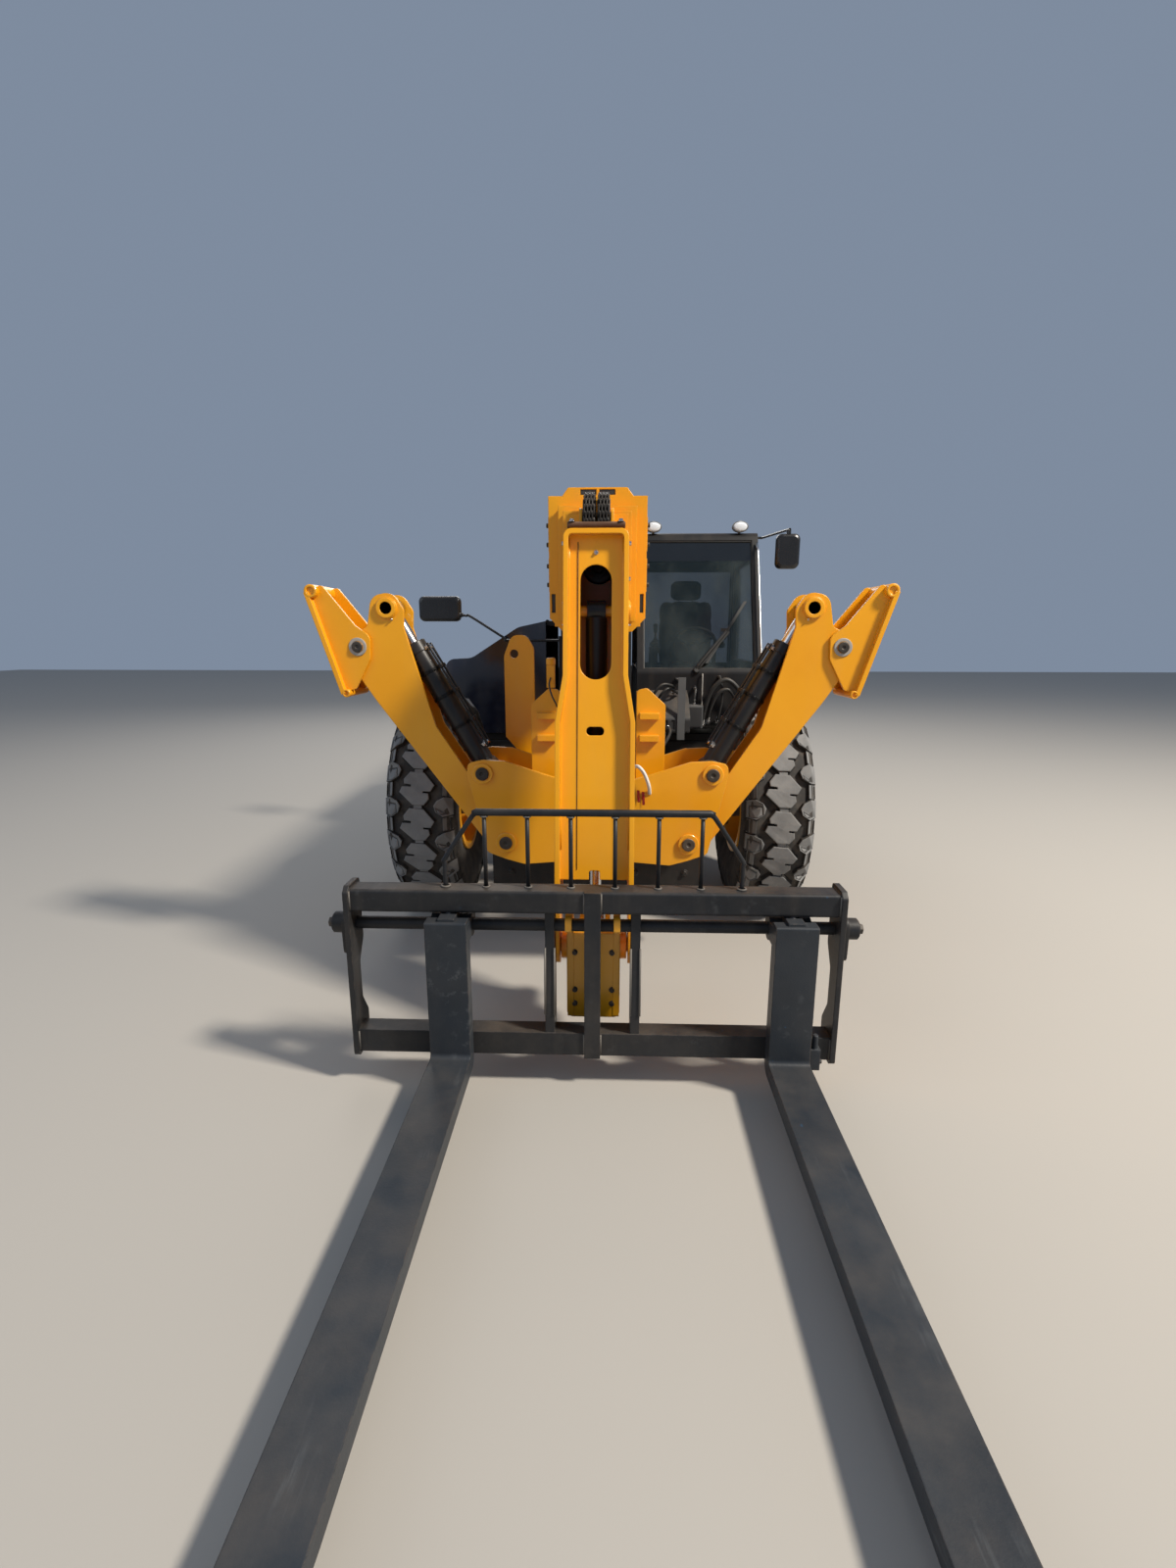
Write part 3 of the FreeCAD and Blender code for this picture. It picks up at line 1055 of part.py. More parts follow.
def make_cab():
    outer = side_plate(CAB_OUTLINE, CAB_INNER_X, CAB_OUTER_X)
    cavity = side_shape(shrunk(CAB_OUTLINE, CAB_WALL), CAB_INNER_X + CAB_WALL, CAB_OUTER_X - CAB_WALL)
    windscreen = block(CAB_INNER_X + PILLAR, CAB_OUTER_X - PILLAR, CAB_FRONT_LOW + 100, CAB_FRONT_HIGH - 60,
                       WINDOW_LOW, WINDOW_HIGH)
    rear = block(CAB_INNER_X + PILLAR, CAB_OUTER_X - PILLAR, CAB_REAR + 100, CAB_REAR - 50, WINDOW_LOW, WINDOW_HIGH)
    right = side_plate(RIGHT_WINDOW, CAB_INNER_X - 10, CAB_INNER_X + CAB_WALL + 10)
    door = side_plate(DOOR_OUTLINE, CAB_OUTER_X - CAB_WALL - 10, CAB_OUTER_X + 10)
    cab = outer.cut([cavity, windscreen, rear, right, door])
    lugs = []
    for z in DOOR_HINGE_HEIGHTS:
        low = z - 40 - SEAT_GAP
        pin = V(CAB_OUTER_X + DOOR_HINGE_OUT, ahead(DOOR_REAR), low)
        lugs.append(Part.makeCylinder(DOOR_HINGE_RADIUS, 40, pin, UP))
        lugs.append(block(CAB_OUTER_X, CAB_OUTER_X + DOOR_HINGE_OUT, DOOR_REAR, DOOR_REAR - 70, low, low + 40))
    return fuse([cab] + lugs)


def make_cab_glass():
    slope = (CAB_FRONT_HIGH - CAB_FRONT_LOW) / (CAB_ROOF - CAB_SILL)
    face, back_face = GLASS_INSET, GLASS_INSET + GLASS
    rows = []
    for z, back in ((WINDOW_LOW, face), (WINDOW_HIGH, face), (WINDOW_HIGH, back_face), (WINDOW_LOW, back_face)):
        rows.append((CAB_FRONT_LOW + slope * (z - CAB_SILL) - back, z))
    front = side_plate(rows, CAB_INNER_X + PILLAR, CAB_OUTER_X - PILLAR)
    rear = block(CAB_INNER_X + PILLAR, CAB_OUTER_X - PILLAR, CAB_REAR + 15 + GLASS, CAB_REAR + 15,
                 WINDOW_LOW, WINDOW_HIGH)
    right = side_plate(RIGHT_WINDOW, CAB_INNER_X + 15, CAB_INNER_X + 15 + GLASS)
    return Part.makeCompound([front, rear, right])


def make_door():
    shell = side_shape(shrunk(DOOR_OUTLINE, DOOR_GAP), CAB_OUTER_X - DOOR_WALL, CAB_OUTER_X)
    openings = [side_plate(rows, CAB_OUTER_X - 60, CAB_OUTER_X + 10) for rows in DOOR_WINDOWS]
    shell = shell.cut(openings)
    parts = [shell]
    for z in DOOR_HINGE_HEIGHTS:
        pin = V(CAB_OUTER_X + DOOR_HINGE_OUT, ahead(DOOR_REAR), z)
        parts.append(Part.makeCylinder(DOOR_HINGE_RADIUS, 90, pin, UP))
        parts.append(block(CAB_OUTER_X, pin.x, DOOR_REAR + 70, DOOR_REAR, z + 10, z + 80))
    parts.append(block(CAB_OUTER_X - 2, CAB_OUTER_X + 14, CAB_FRONT_LOW - 135, CAB_FRONT_LOW - 265,
                       CAB_SILL + 25, CAB_SILL + 50))
    return fuse(parts)


def make_door_glass():
    x = CAB_OUTER_X - DOOR_WALL / 2
    return Part.makeCompound([side_plate(rows, x, x + GLASS) for rows in DOOR_WINDOWS])


def make_seat():
    # The seat stands on its box near the cab's rear wall.
    middle = (CAB_INNER_X + CAB_OUTER_X) / 2
    rear = CAB_REAR + SEAT_GAP_BEHIND
    cushion_rear = CUSHION_FRONT - CUSHION_DEPTH
    high = SEAT_BASE_TOP
    top = high + SEAT_HEIGHT
    back_top = top - 180
    base = block(middle - 180, middle + 180, CUSHION_FRONT - 80, cushion_rear + 20, CAB_FLOOR + CAB_WALL, high)
    cushion = side_plate([(CUSHION_FRONT, high, 40), (CUSHION_FRONT, high + 110, 40),
                          (cushion_rear, high + 100, 30), (cushion_rear, high, 30)], middle - 250, middle + 250)
    back = side_plate([(cushion_rear + 50, high + 70, 30), (rear + 100, back_top, 42),
                       (rear, back_top, 42), (rear + 30, high + 50, 30)], middle - 230, middle + 230)
    head_rest = side_plate([(rear + 95, back_top + 20, 25), (rear + 80, top, 30), (rear + 10, top, 30),
                            (rear + 5, back_top + 20, 25)], middle - 130, middle + 130)
    parts = [base, cushion, back, head_rest]
    for side in (-1, 1):
        near, far = middle + side * 255, middle + side * 315
        arm = side_plate([(CUSHION_FRONT - 190, high + 270, 20), (CUSHION_FRONT - 190, high + 320, 20),
                          (rear + 60, high + 330, 20), (rear + 60, high + 280, 20)],
                         min(near, far), max(near, far))
        pivot = bar(V(middle + side * 220, ahead(rear + 90), high + 300),
                    V(middle + side * 260, ahead(rear + 90), high + 300), 14)
        post_x = middle + side * 60
        post = bar(V(post_x, ahead(rear + 50), back_top - 20), V(post_x, ahead(rear + 50), back_top + 30), 9)
        parts += [arm, pivot, post]
    return fuse(parts)


def make_controls():
    # Dashboard, steering column, and a wheel with three spokes.
    middle = (CAB_INNER_X + CAB_OUTER_X) / 2
    dash_front = CAB_FRONT_LOW - 75
    dash = side_plate([(dash_front, CAB_FLOOR + CAB_WALL), (dash_front, CAB_SILL + 10, 40),
                       (dash_front - 140, CAB_SILL + 50, 40), (dash_front - 180, CAB_SILL - 30, 40),
                       (dash_front - 80, CAB_FLOOR + CAB_WALL)], middle - 210, middle + 210)
    foot = V(middle, ahead(dash_front - 100), CAB_SILL - 30)
    hub = V(middle, ahead(dash_front - 100 - COLUMN_REACH), CAB_SILL + 190)
    axis = (hub - foot).normalize()
    rim = Part.makeTorus(WHEEL_RIM_RADIUS, 14, hub, axis)
    parts = [dash, bar(foot, hub, 32), rim, bar(hub - axis * 12, hub + axis * 14, 46)]
    for angle in (90, 210, 330):
        spoke = bar(hub, hub + LEFT * (WHEEL_RIM_RADIUS - 4), 10)
        spoke.rotate(hub, axis, angle)
        parts.append(spoke)
    return fuse(parts)


def make_cowl():
    # The low cover in front of the cab, beside the boom, over the valves.
    rows = [(CAB_FRONT_LOW + SEAT_GAP, CAB_FLOOR + 10), (COWL_FRONT, CAB_FLOOR + 10, 15), (COWL_FRONT, 1120, 50),
            (COWL_FRONT - 150, 1250, 60), (CAB_FRONT_LOW + SEAT_GAP, 1300)]
    cover = side_plate(rows, COWL_INNER_X, COWL_OUTER_X)
    slots = []
    for index in range(COWL_SLOTS):
        x = COWL_INNER_X + 70 + index * 52
        slots.append(block(x, x + 26, COWL_FRONT + 5, COWL_FRONT - 8, 1035, 1105))
    return cover.cut(slots)


keep("cab_frame", make_cab())
keep("cab_glass", make_cab_glass())
keep("cab_door", make_door())
keep("door_glass", make_door_glass())
keep("operator_seat", make_seat())
keep("steering_column", make_controls())
keep("cab_cowl", make_cowl())


# Engine cover on its hinge, lamps and mirrors
def on_hinge(place, start, end, radius):
    # A round piece on the hood's hinge line, from start to end off one of the hinge's places.
    middle = HOOD_FRONT + place * (HOOD_REAR - HOOD_FRONT)
    return long_bar(-HOOD_HINGE_X, HOOD_HINGE_Z, middle + end, middle + start, radius)


def make_hood():
    high = HOOD_SIDE_HIGH
    outer = [(-HOOD_OUTER_X, HOOD_LOW), (-HOOD_OUTER_X, high, 70), (-1000, high + 10, 120),
             (-640, HOOD_HINGE_Z - 45, 150), (-HOOD_HINGE_X, HOOD_HINGE_Z), (-HOOD_HINGE_X, HOOD_LOW)]
    solid = front_plate(outer, HOOD_FRONT, HOOD_REAR)
    wall = HOOD_WALL
    open_x = -HOOD_HINGE_X + 10
    inner = [(-HOOD_OUTER_X + wall, HOOD_LOW - 10), (-HOOD_OUTER_X + wall, high - wall, 70 - wall),
             (-1000, high + 10 - wall, 120), (-640, HOOD_HINGE_Z - 45 - wall, 150),
             (open_x, HOOD_HINGE_Z - wall), (open_x, HOOD_LOW - 10)]
    solid = solid.cut(front_plate(inner, HOOD_FRONT - wall, HOOD_REAR + wall))
    half = KNUCKLE_LENGTH / 2
    room = [on_hinge(place, side, side + 2 * half + 2 * SEAT_GAP, KNUCKLE_RADIUS + SEAT_GAP)
            for place in KNUCKLE_PLACES for side in (-3 * half - 2 * SEAT_GAP, half)]
    knuckles = [on_hinge(place, -half, half, KNUCKLE_RADIUS) for place in KNUCKLE_PLACES]
    bores = [on_hinge(place, -half - 1, half + 1, HINGE_PIN_RADIUS + RUNNING_FIT) for place in KNUCKLE_PLACES]
    return solid.cut(room).fuse(knuckles).cut(bores)


def make_hood_rail():
    parts = [block(-HOOD_HINGE_X + SEAT_GAP, -300, HOOD_FRONT - 70, HOOD_REAR + 70, HOOD_HINGE_Z - 30, HOOD_HINGE_Z),
             block(-320, -300, HOOD_FRONT - 70, HOOD_REAR + 70, 1500, HOOD_HINGE_Z - 30)]
    half = KNUCKLE_LENGTH / 2
    room = [on_hinge(place, -half - SEAT_GAP, half + SEAT_GAP, KNUCKLE_RADIUS + SEAT_GAP)
            for place in KNUCKLE_PLACES]
    knuckles = [on_hinge(place, start, start + 2 * half, KNUCKLE_RADIUS)
                for place in KNUCKLE_PLACES for start in (-3 * half - SEAT_GAP, half + SEAT_GAP)]
    pins = [on_hinge(place, -3 * half, 3 * half, HINGE_PIN_RADIUS) for place in KNUCKLE_PLACES]
    return fuse(parts).cut(room).fuse(knuckles + pins)


keep("engine_hood", make_hood())
keep("hood_hinge_rail", make_hood_rail())


def mirror_head(side, width, forward, low, high):
    x_low = side * (MIRROR_REACH - width / 2) - width / 2
    x_high, rear = x_low + width, forward - MIRROR_DEPTH
    return top_plate([(x_low, forward, 18), (x_low, rear, 18), (x_high, rear, 18), (x_high, forward, 18)],
                     low, high)


def bent_arm(points, radius):
    parts = []
    for start, end in zip(points, points[1:]):
        parts.append(bar(start, end, radius))
    for corner in points[1:-1]:
        parts.append(Part.makeSphere(radius, corner))
    return parts


def make_left_mirror():
    # It hangs from a thin arm at the roof's outer front corner.
    width, low, high = LEFT_MIRROR
    x = MIRROR_REACH - width / 2
    root = V(CAB_OUTER_X + SEAT_GAP, ahead(CAB_FRONT_HIGH - 40), CAB_ROOF - 35)
    middle = ahead(LEFT_MIRROR_AHEAD - 22)
    elbow = V(CAB_OUTER_X + 45, root.y, root.z)
    arm = bent_arm([root, elbow, V(x, middle, high + 26), V(x, middle, high - 60)], MIRROR_ARM_RADIUS)
    return fuse([mirror_head(1, width, LEFT_MIRROR_AHEAD, low, high)] + arm)


def make_right_mirror():
    # Its arm runs from the mirror's inner end down to the post beside the boom.
    width, low, high = RIGHT_MIRROR
    inner = width - MIRROR_REACH
    grip = V(inner - 30, ahead(RIGHT_MIRROR_AHEAD - 22), low + 50)
    outer = V(inner + 50, grip.y, low + 40)
    root = V(-POST_OUTER - SEAT_GAP, ahead(POST_AHEAD), RAIL_TOP + 668)
    arm = bent_arm([grip, outer, V(inner + 320, root.y, root.z), root], MIRROR_ARM_RADIUS)
    return fuse([mirror_head(-1, width, RIGHT_MIRROR_AHEAD, low, high)] + arm)


keep("mirror_left", make_left_mirror())
keep("mirror_right", make_right_mirror())
keep("mirror_post", block(-POST_OUTER, -SIDE_PLATE_X - SIDE_PLATE_WALL - SEAT_GAP, POST_AHEAD + 30,
                          POST_AHEAD - 30, RAIL_TOP - 60, RAIL_TOP + 700))
lamps = []
for x in LAMP_PLACES:
    z = CAB_ROOF + LAMP_RADIUS + 8
    lamp = long_bar(x, z, CAB_FRONT_HIGH + 20, CAB_FRONT_HIGH - 45, LAMP_RADIUS)
    stem = Part.makeCylinder(11, 30, V(x, ahead(CAB_FRONT_HIGH - 32), CAB_ROOF + SEAT_GAP), UP)
    lamps.append(fuse([lamp, stem]))
keep("roof_lamps", Part.makeCompound(lamps))
rear_lamps = []
for side in (-1, 1):
    rear_lamps.append(pair_block(side, COUNTERWEIGHT_HALF - 210, COUNTERWEIGHT_HALF - 40, tail_end + 130,
                                 tail_end + 70, COUNTERWEIGHT_HIGH + SEAT_GAP, COUNTERWEIGHT_HIGH + 70))
keep("tail_lamps", Part.makeCompound(rear_lamps))

for name, shape in shapes.items():
    shape.exportStep("parts/" + name + ".step")
    print(name, len(shape.Solids), shape.isValid(), round(shape.Volume / 1e6, 2))
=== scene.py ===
# %% [markdown]
# # A telehandler, dressed for its picture
# The machine's solids come in as a fixed frame, in metres, with +Z up and the forks pointing to -Y. This
# lesson gives every surface its finish, adds the small pieces that are too fine for the frame, and sets up
# the picture. Each cell makes one thing and prints what it made.

# %% Load the frame
import bpy
import bmesh
import json
import math
import random
from mathutils import Matrix, Vector


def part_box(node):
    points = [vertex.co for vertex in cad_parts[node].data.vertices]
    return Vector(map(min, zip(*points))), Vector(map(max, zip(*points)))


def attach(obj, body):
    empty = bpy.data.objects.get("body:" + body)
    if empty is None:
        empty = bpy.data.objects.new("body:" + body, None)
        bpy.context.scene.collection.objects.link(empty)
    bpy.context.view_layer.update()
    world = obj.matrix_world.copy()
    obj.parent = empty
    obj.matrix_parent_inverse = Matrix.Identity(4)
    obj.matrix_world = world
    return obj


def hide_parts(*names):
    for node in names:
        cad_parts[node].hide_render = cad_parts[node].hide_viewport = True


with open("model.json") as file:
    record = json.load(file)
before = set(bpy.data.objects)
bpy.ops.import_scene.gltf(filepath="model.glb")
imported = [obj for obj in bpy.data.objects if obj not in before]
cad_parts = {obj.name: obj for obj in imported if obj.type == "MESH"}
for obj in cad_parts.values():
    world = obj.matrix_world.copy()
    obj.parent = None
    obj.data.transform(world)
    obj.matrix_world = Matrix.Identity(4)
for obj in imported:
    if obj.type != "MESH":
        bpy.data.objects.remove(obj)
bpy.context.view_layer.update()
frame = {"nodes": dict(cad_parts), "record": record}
nodes = frame["nodes"]

# %% [markdown]
# ## The camera
# The photograph was taken with a phone's wide lens, held at eye height straight in front of the machine, so
# the forks run out of the bottom of the picture. A short lens and a downward tilt repeat that. The lens is
# worked out from its focal length in pixels, because Blender's sensor width belongs to the picture's longer
# side.

# %% Camera
IMAGE_HEIGHT = 1600
FOCAL_PIXELS = 700.0
SENSOR = 36.0
CAMERA_HEIGHT = 1.70
CAMERA_X = 0.057
CAMERA_TO_CARRIAGE = 2.333
TILT_DOWN = math.radians(12.17)
TURN = math.radians(1.8)
ROLL = math.radians(0.05)

carriage_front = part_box("fork_carriage")[0][1]
camera_data = bpy.data.cameras.new("photo_camera")
camera_data.sensor_width = SENSOR
camera_data.lens = FOCAL_PIXELS * SENSOR / IMAGE_HEIGHT
camera = bpy.data.objects.new("photo_camera", camera_data)
bpy.context.scene.collection.objects.link(camera)
camera.location = (CAMERA_X, carriage_front - CAMERA_TO_CARRIAGE, CAMERA_HEIGHT)
look = Matrix.Rotation(TURN, 4, "Z") @ Matrix.Rotation(math.pi / 2 - TILT_DOWN, 4, "X")
camera.rotation_euler = (look @ Matrix.Rotation(ROLL, 4, "Z")).to_euler()
bpy.context.scene.camera = camera
print("camera at", tuple(round(value, 3) for value in camera.location), "lens", round(camera_data.lens, 2))

# %% [markdown]
# ## Floor and light
# The part is shown on a plain pale floor in soft studio light. One broad lamp stands high on the left
# behind the camera, where the sun stood in the photograph, a weaker one fills the shadows, and a pale sky
# lights the rest.

# %% Floor, sky and lamps
FLOOR_HALF = 30.0
FLOOR_COLOUR = (0.40, 0.375, 0.34, 1)
SKY_COLOUR = (0.50, 0.62, 0.82, 1)
SKY_STRENGTH = 0.42
# name, place, size, power, colour
LAMPS = [
    ("key_lamp", (9.0, -5.5, 11.0), 1.5, 3000, (1.0, 0.93, 0.82)),
    ("fill_lamp", (-7.0, -6.0, 5.0), 6.0, 130, (0.85, 0.92, 1.0)),
    ("back_lamp", (-2.0, 9.0, 8.0), 6.0, 420, (1.0, 0.97, 0.92)),
]
LAMP_AIM = Vector((0, -1.0, 0.9))

floor_mesh = bpy.data.meshes.new("floor")
corners = [(-FLOOR_HALF, -FLOOR_HALF, 0), (FLOOR_HALF, -FLOOR_HALF, 0), (FLOOR_HALF, FLOOR_HALF, 0),
           (-FLOOR_HALF, FLOOR_HALF, 0)]
floor_mesh.from_pydata(corners, [], [(0, 1, 2, 3)])
floor = bpy.data.objects.new("floor", floor_mesh)
bpy.context.scene.collection.objects.link(floor)
floor_paint = bpy.data.materials.new("floor_paint")
floor_paint.use_nodes = True
floor_shader = floor_paint.node_tree.nodes["Principled BSDF"]
floor_shader.inputs["Base Color"].default_value = FLOOR_COLOUR
floor_shader.inputs["Roughness"].default_value = 0.9
floor_mesh.materials.append(floor_paint)

world = bpy.data.worlds.new("studio_sky")
world.use_nodes = True
world.node_tree.nodes["Background"].inputs["Color"].default_value = SKY_COLOUR
world.node_tree.nodes["Background"].inputs["Strength"].default_value = SKY_STRENGTH
bpy.context.scene.world = world

for lamp_name, place, size, power, colour in LAMPS:
    lamp_data = bpy.data.lights.new(lamp_name, "AREA")
    lamp_data.size = size
    lamp_data.energy = power
    lamp_data.color = colour
    lamp = bpy.data.objects.new(lamp_name, lamp_data)
    lamp.location = place
    lamp.rotation_euler = (LAMP_AIM - Vector(place)).to_track_quat("-Z", "Y").to_euler()
    bpy.context.scene.collection.objects.link(lamp)
bpy.context.scene.view_settings.view_transform = "Standard"
print("floor, sky and", len(LAMPS), "lamps")

# %% [markdown]
# ## Shader maths as Python expressions
# A finish is a network of nodes, and long networks are hard to read. The small class below wraps one output
# socket, so that `1 - mask` or `rust * 0.5` adds the Math node by itself. Every other node comes from one
# method, which takes the node's type, its settings and what goes into its sockets.


# %% The Flow class
class Flow:
    """A value or colour on its way through a material, held by the socket that it comes out of."""

    def __init__(self, tree, socket=None):
        self.tree = tree
        self.socket = socket

    def node(self, kind, inputs=None, out=0, **settings):
        made = self.tree.nodes.new(kind)
        for key, value in settings.items():
            setattr(made, key, value)
        for key, value in (inputs or {}).items():
            if isinstance(value, Flow):
                self.tree.links.new(value.socket, made.inputs[key])
            else:
                made.inputs[key].default_value = value
        return Flow(self.tree, made.outputs[out])

    def maths(self, operation, first, second):
        return self.node("ShaderNodeMath", {0: first, 1: second}, operation=operation)

    def __add__(self, other):
        return self.maths("ADD", self, other)

    def __radd__(self, other):
        return self.maths("ADD", other, self)

    def __sub__(self, other):
        return self.maths("SUBTRACT", self, other)

    def __rsub__(self, other):
        return self.maths("SUBTRACT", other, self)

    def __mul__(self, other):
        return self.maths("MULTIPLY", self, other)

    def __rmul__(self, other):
        return self.maths("MULTIPLY", other, self)

    def above(self, low, high):
        """A mask that rises from 0 to 1 while the value goes from low to high."""
        return self.node("ShaderNodeMapRange", {"Value": self, "From Min": low,
                                                "From Max": high}, clamp=True)

    def blend(self, first, second):
        """The first colour where this mask is 0, the second where it is 1."""
        return self.node("ShaderNodeMix", {0: self, 6: first, 7: second}, out=2, data_type="RGBA")


print("shader helper ready")

# %% [markdown]
# ## Patterns that every finish shares
# Paint on a working machine is never even. Large soft clouds fade it, small grain roughens it, dust settles
# on what faces up, and edges lose their paint first. Each of these is a mask made once here. They use the
# object's own coordinates, so they stay on the metal when the machine moves. The edge mask compares the
# true normal with one that the Bevel node has rounded, which also makes the sharp edges of the solids catch
# the light.

# %% Masks
EDGE_RADIUS = 0.006
BEVEL_SAMPLES = 4
NOISE_ROUGHNESS = 0.6
BUMP_STRENGTH = 0.6


def start(name):
    material = bpy.data.materials.new(name)
    material.use_nodes = True
    tree = material.node_tree
    return material, Flow(tree), tree.nodes["Principled BSDF"]


def place_on(flow):
    return flow.node("ShaderNodeTexCoord", out="Object")


def noise(flow, scale, detail=3.0, stretch=None):
    point = place_on(flow)
    if stretch:
        point = flow.node("ShaderNodeVectorMath", {0: point, 1: stretch}, operation="MULTIPLY")
    return flow.node("ShaderNodeTexNoise", {"Vector": point, "Scale": scale, "Detail": detail,
                                            "Roughness": NOISE_ROUGHNESS})


def rounded_normal(flow, radius=EDGE_RADIUS):
    return flow.node("ShaderNodeBevel", {"Radius": radius}, samples=BEVEL_SAMPLES)


def edge_mask(flow):
    plain = flow.node("ShaderNodeNewGeometry", out="Normal")
    same = flow.node("ShaderNodeVectorMath", {0: rounded_normal(flow), 1: plain}, out="Value",
                     operation="DOT_PRODUCT")
    return (1 - same).above(0.02, 0.25)


def facing_up(flow):
    normal = flow.node("ShaderNodeNewGeometry", out="Normal")
    return flow.node("ShaderNodeSeparateXYZ", {0: normal}, out="Z").above(0.3, 0.95)


def height(flow):
    return flow.node("ShaderNodeSeparateXYZ", {0: place_on(flow)}, out="Z")


def finish_with(shader, flow, sockets, bump=None, bump_distance=0.001, radius=EDGE_RADIUS):
    for name, value in sockets.items():
        if isinstance(value, Flow):
            flow.tree.links.new(value.socket, shader.inputs[name])
        else:
            shader.inputs[name].default_value = value
    normal = rounded_normal(flow, radius)
    if bump is not None:
        normal = flow.node("ShaderNodeBump", {"Height": bump, "Distance": bump_distance,
                                              "Strength": BUMP_STRENGTH, "Normal": normal})
    flow.tree.links.new(normal.socket, shader.inputs["Normal"])


print("masks ready")

# %% [markdown]
# ## Painted and rusty steel
# Yellow panels, the black belly, the grey carriage and the forks are all the same build-up: a base colour
# with slow clouds in it, streaks that rain has washed down, dust on what faces up, and worn edges. Pins,
# chains, welds and rusty bars only need other numbers. One function makes them all, and a table says how
# strong each of these is.



# %% Painted finishes
DUST = (0.42, 0.33, 0.24, 1)
WEAR_STEEL = (0.16, 0.13, 0.11, 1)
SCUFF_STEEL = (0.105, 0.112, 0.118, 1)
BLUE_FLECK = (0.020, 0.110, 0.240, 1)
# how much of a finish is scuffed to bare steel along its length
SCUFFS = {"carriage_paint": 0.22, "fork_steel": 0.75}
# name: base, cloud colour, dust, wear, roughness, coat, grain of the bump
PAINTS = {
    "yellow_paint": ((0.80, 0.333, 0.001, 1), (0.86, 0.383, 0.004, 1), 0.12, 0.35, 0.34, 0.25, 0.10),
    "black_paint": ((0.007, 0.007, 0.008, 1), (0.013, 0.013, 0.014, 1), 0.10, 0.22, 0.42, 0.10, 0.20),
    # hood_paint is black with a navy tint: the blue is a painted sky reflection, besides the real gloss of
    # its coat
    "hood_paint": ((0.006, 0.008, 0.018, 1), (0.012, 0.014, 0.026, 1), 0.16, 0.15, 0.14, 0.80, 0.04),
    "carriage_paint": ((0.007, 0.009, 0.012, 1), (0.013, 0.016, 0.021, 1), 0.10, 0.50, 0.44, 0.0, 0.45),
    "fork_steel": ((0.017, 0.022, 0.029, 1), (0.030, 0.037, 0.046, 1), 0.05, 0.70, 0.42, 0.0, 0.60),
    "cylinder_black": ((0.007, 0.007, 0.008, 1), (0.015, 0.015, 0.016, 1), 0.12, 0.22, 0.34, 0.15, 0.15),
    "axle_iron": ((0.022, 0.020, 0.018, 1), (0.060, 0.048, 0.036, 1), 0.60, 0.30, 0.80, 0.0, 0.90),
    "pin_steel": ((0.022, 0.020, 0.019, 1), (0.050, 0.043, 0.036, 1), 0.3, 0.7, 0.42, 0.0, 0.3),
    "chain_steel": ((0.011, 0.010, 0.009, 1), (0.026, 0.020, 0.015, 1), 0.15, 0.30, 0.45, 0.0, 0.2),
    "rusty_bar": ((0.075, 0.030, 0.014, 1), (0.130, 0.060, 0.028, 1), 0.3, 0.5, 0.70, 0.0, 0.6),
    "washer_steel": ((0.30, 0.29, 0.27, 1), (0.40, 0.38, 0.35, 1), 0.3, 0.2, 0.42, 0.0, 0.2),
    "weld_steel": ((0.085, 0.082, 0.078, 1), (0.150, 0.140, 0.128, 1), 0.2, 0.3, 0.50, 0.0, 0.5),
}
RUST_METAL = 0.6
COAT_ROUGHNESS = 0.12
# how strongly the dust shows in the streaks, near the ground and in the roughness
STREAK_SHARE, SPLASH_SHARE, DUST_ROUGHNESS = 0.45, 0.7, 0.35
SPLASH_HEIGHT = (0.25, 1.25)
SPECKLE_ROUGHNESS = 0.10


def painted(name, base, cloud, dust, wear, roughness, coat, grain):
    material, flow, shader = start(name)
    clouds = noise(flow, 1.7, 4.0).above(0.35, 0.70)
    streaks = noise(flow, 9.0, 4.0, (1.0, 1.0, 0.12)).above(0.52, 0.80)
    speckle = noise(flow, 140.0, 2.0)
    settled = noise(flow, 6.0, 5.0).above(0.30, 0.75)
    colour = clouds.blend(base, cloud)
    colour = (streaks * (dust * STREAK_SHARE)).blend(colour, DUST)
    colour = (settled * facing_up(flow) * dust).blend(colour, DUST)
    low_down = (1 - height(flow).above(*SPLASH_HEIGHT)) * settled * (dust * SPLASH_SHARE)
    colour = low_down.blend(colour, DUST)
    chips = noise(flow, 28.0, 4.0).above(0.46, 0.58)
    worn = edge_mask(flow) * chips * wear
    colour = worn.blend(colour, WEAR_STEEL)
    if name in SCUFFS:
        long_marks = noise(flow, 30.0, 5.0, (1.0, 0.10, 1.0)).above(0.56, 0.72)
        patches = noise(flow, 3.5, 4.0).above(0.45, 0.62)
        colour = (long_marks * patches * SCUFFS[name]).blend(colour, SCUFF_STEEL)
        flecks = noise(flow, 16.0, 3.0, (1.0, 0.45, 1.0)).above(0.70, 0.73)
        flecks = flecks * noise(flow, 2.2).above(0.48, 0.60)
        colour = (flecks * SCUFFS[name]).blend(colour, BLUE_FLECK)
    rough = roughness + settled * (dust * DUST_ROUGHNESS) + speckle * SPECKLE_ROUGHNESS
    rough = rough - SPECKLE_ROUGHNESS / 2
    finish_with(shader, flow, {"Base Color": colour, "Roughness": rough, "Metallic": worn * RUST_METAL,
                               "Coat Weight": coat, "Coat Roughness": COAT_ROUGHNESS},
                bump=speckle * grain + noise(flow, 22.0, 4.0) * (grain * 1.5))
    # a thick coat shines more than bare paint
    shader.inputs["Specular IOR Level"].default_value = 0.5 if coat > 0.2 else 0.3
    return material


finishes = {name: painted(name, *recipe) for name, recipe in PAINTS.items()}
print("painted finishes:", ", ".join(PAINTS))
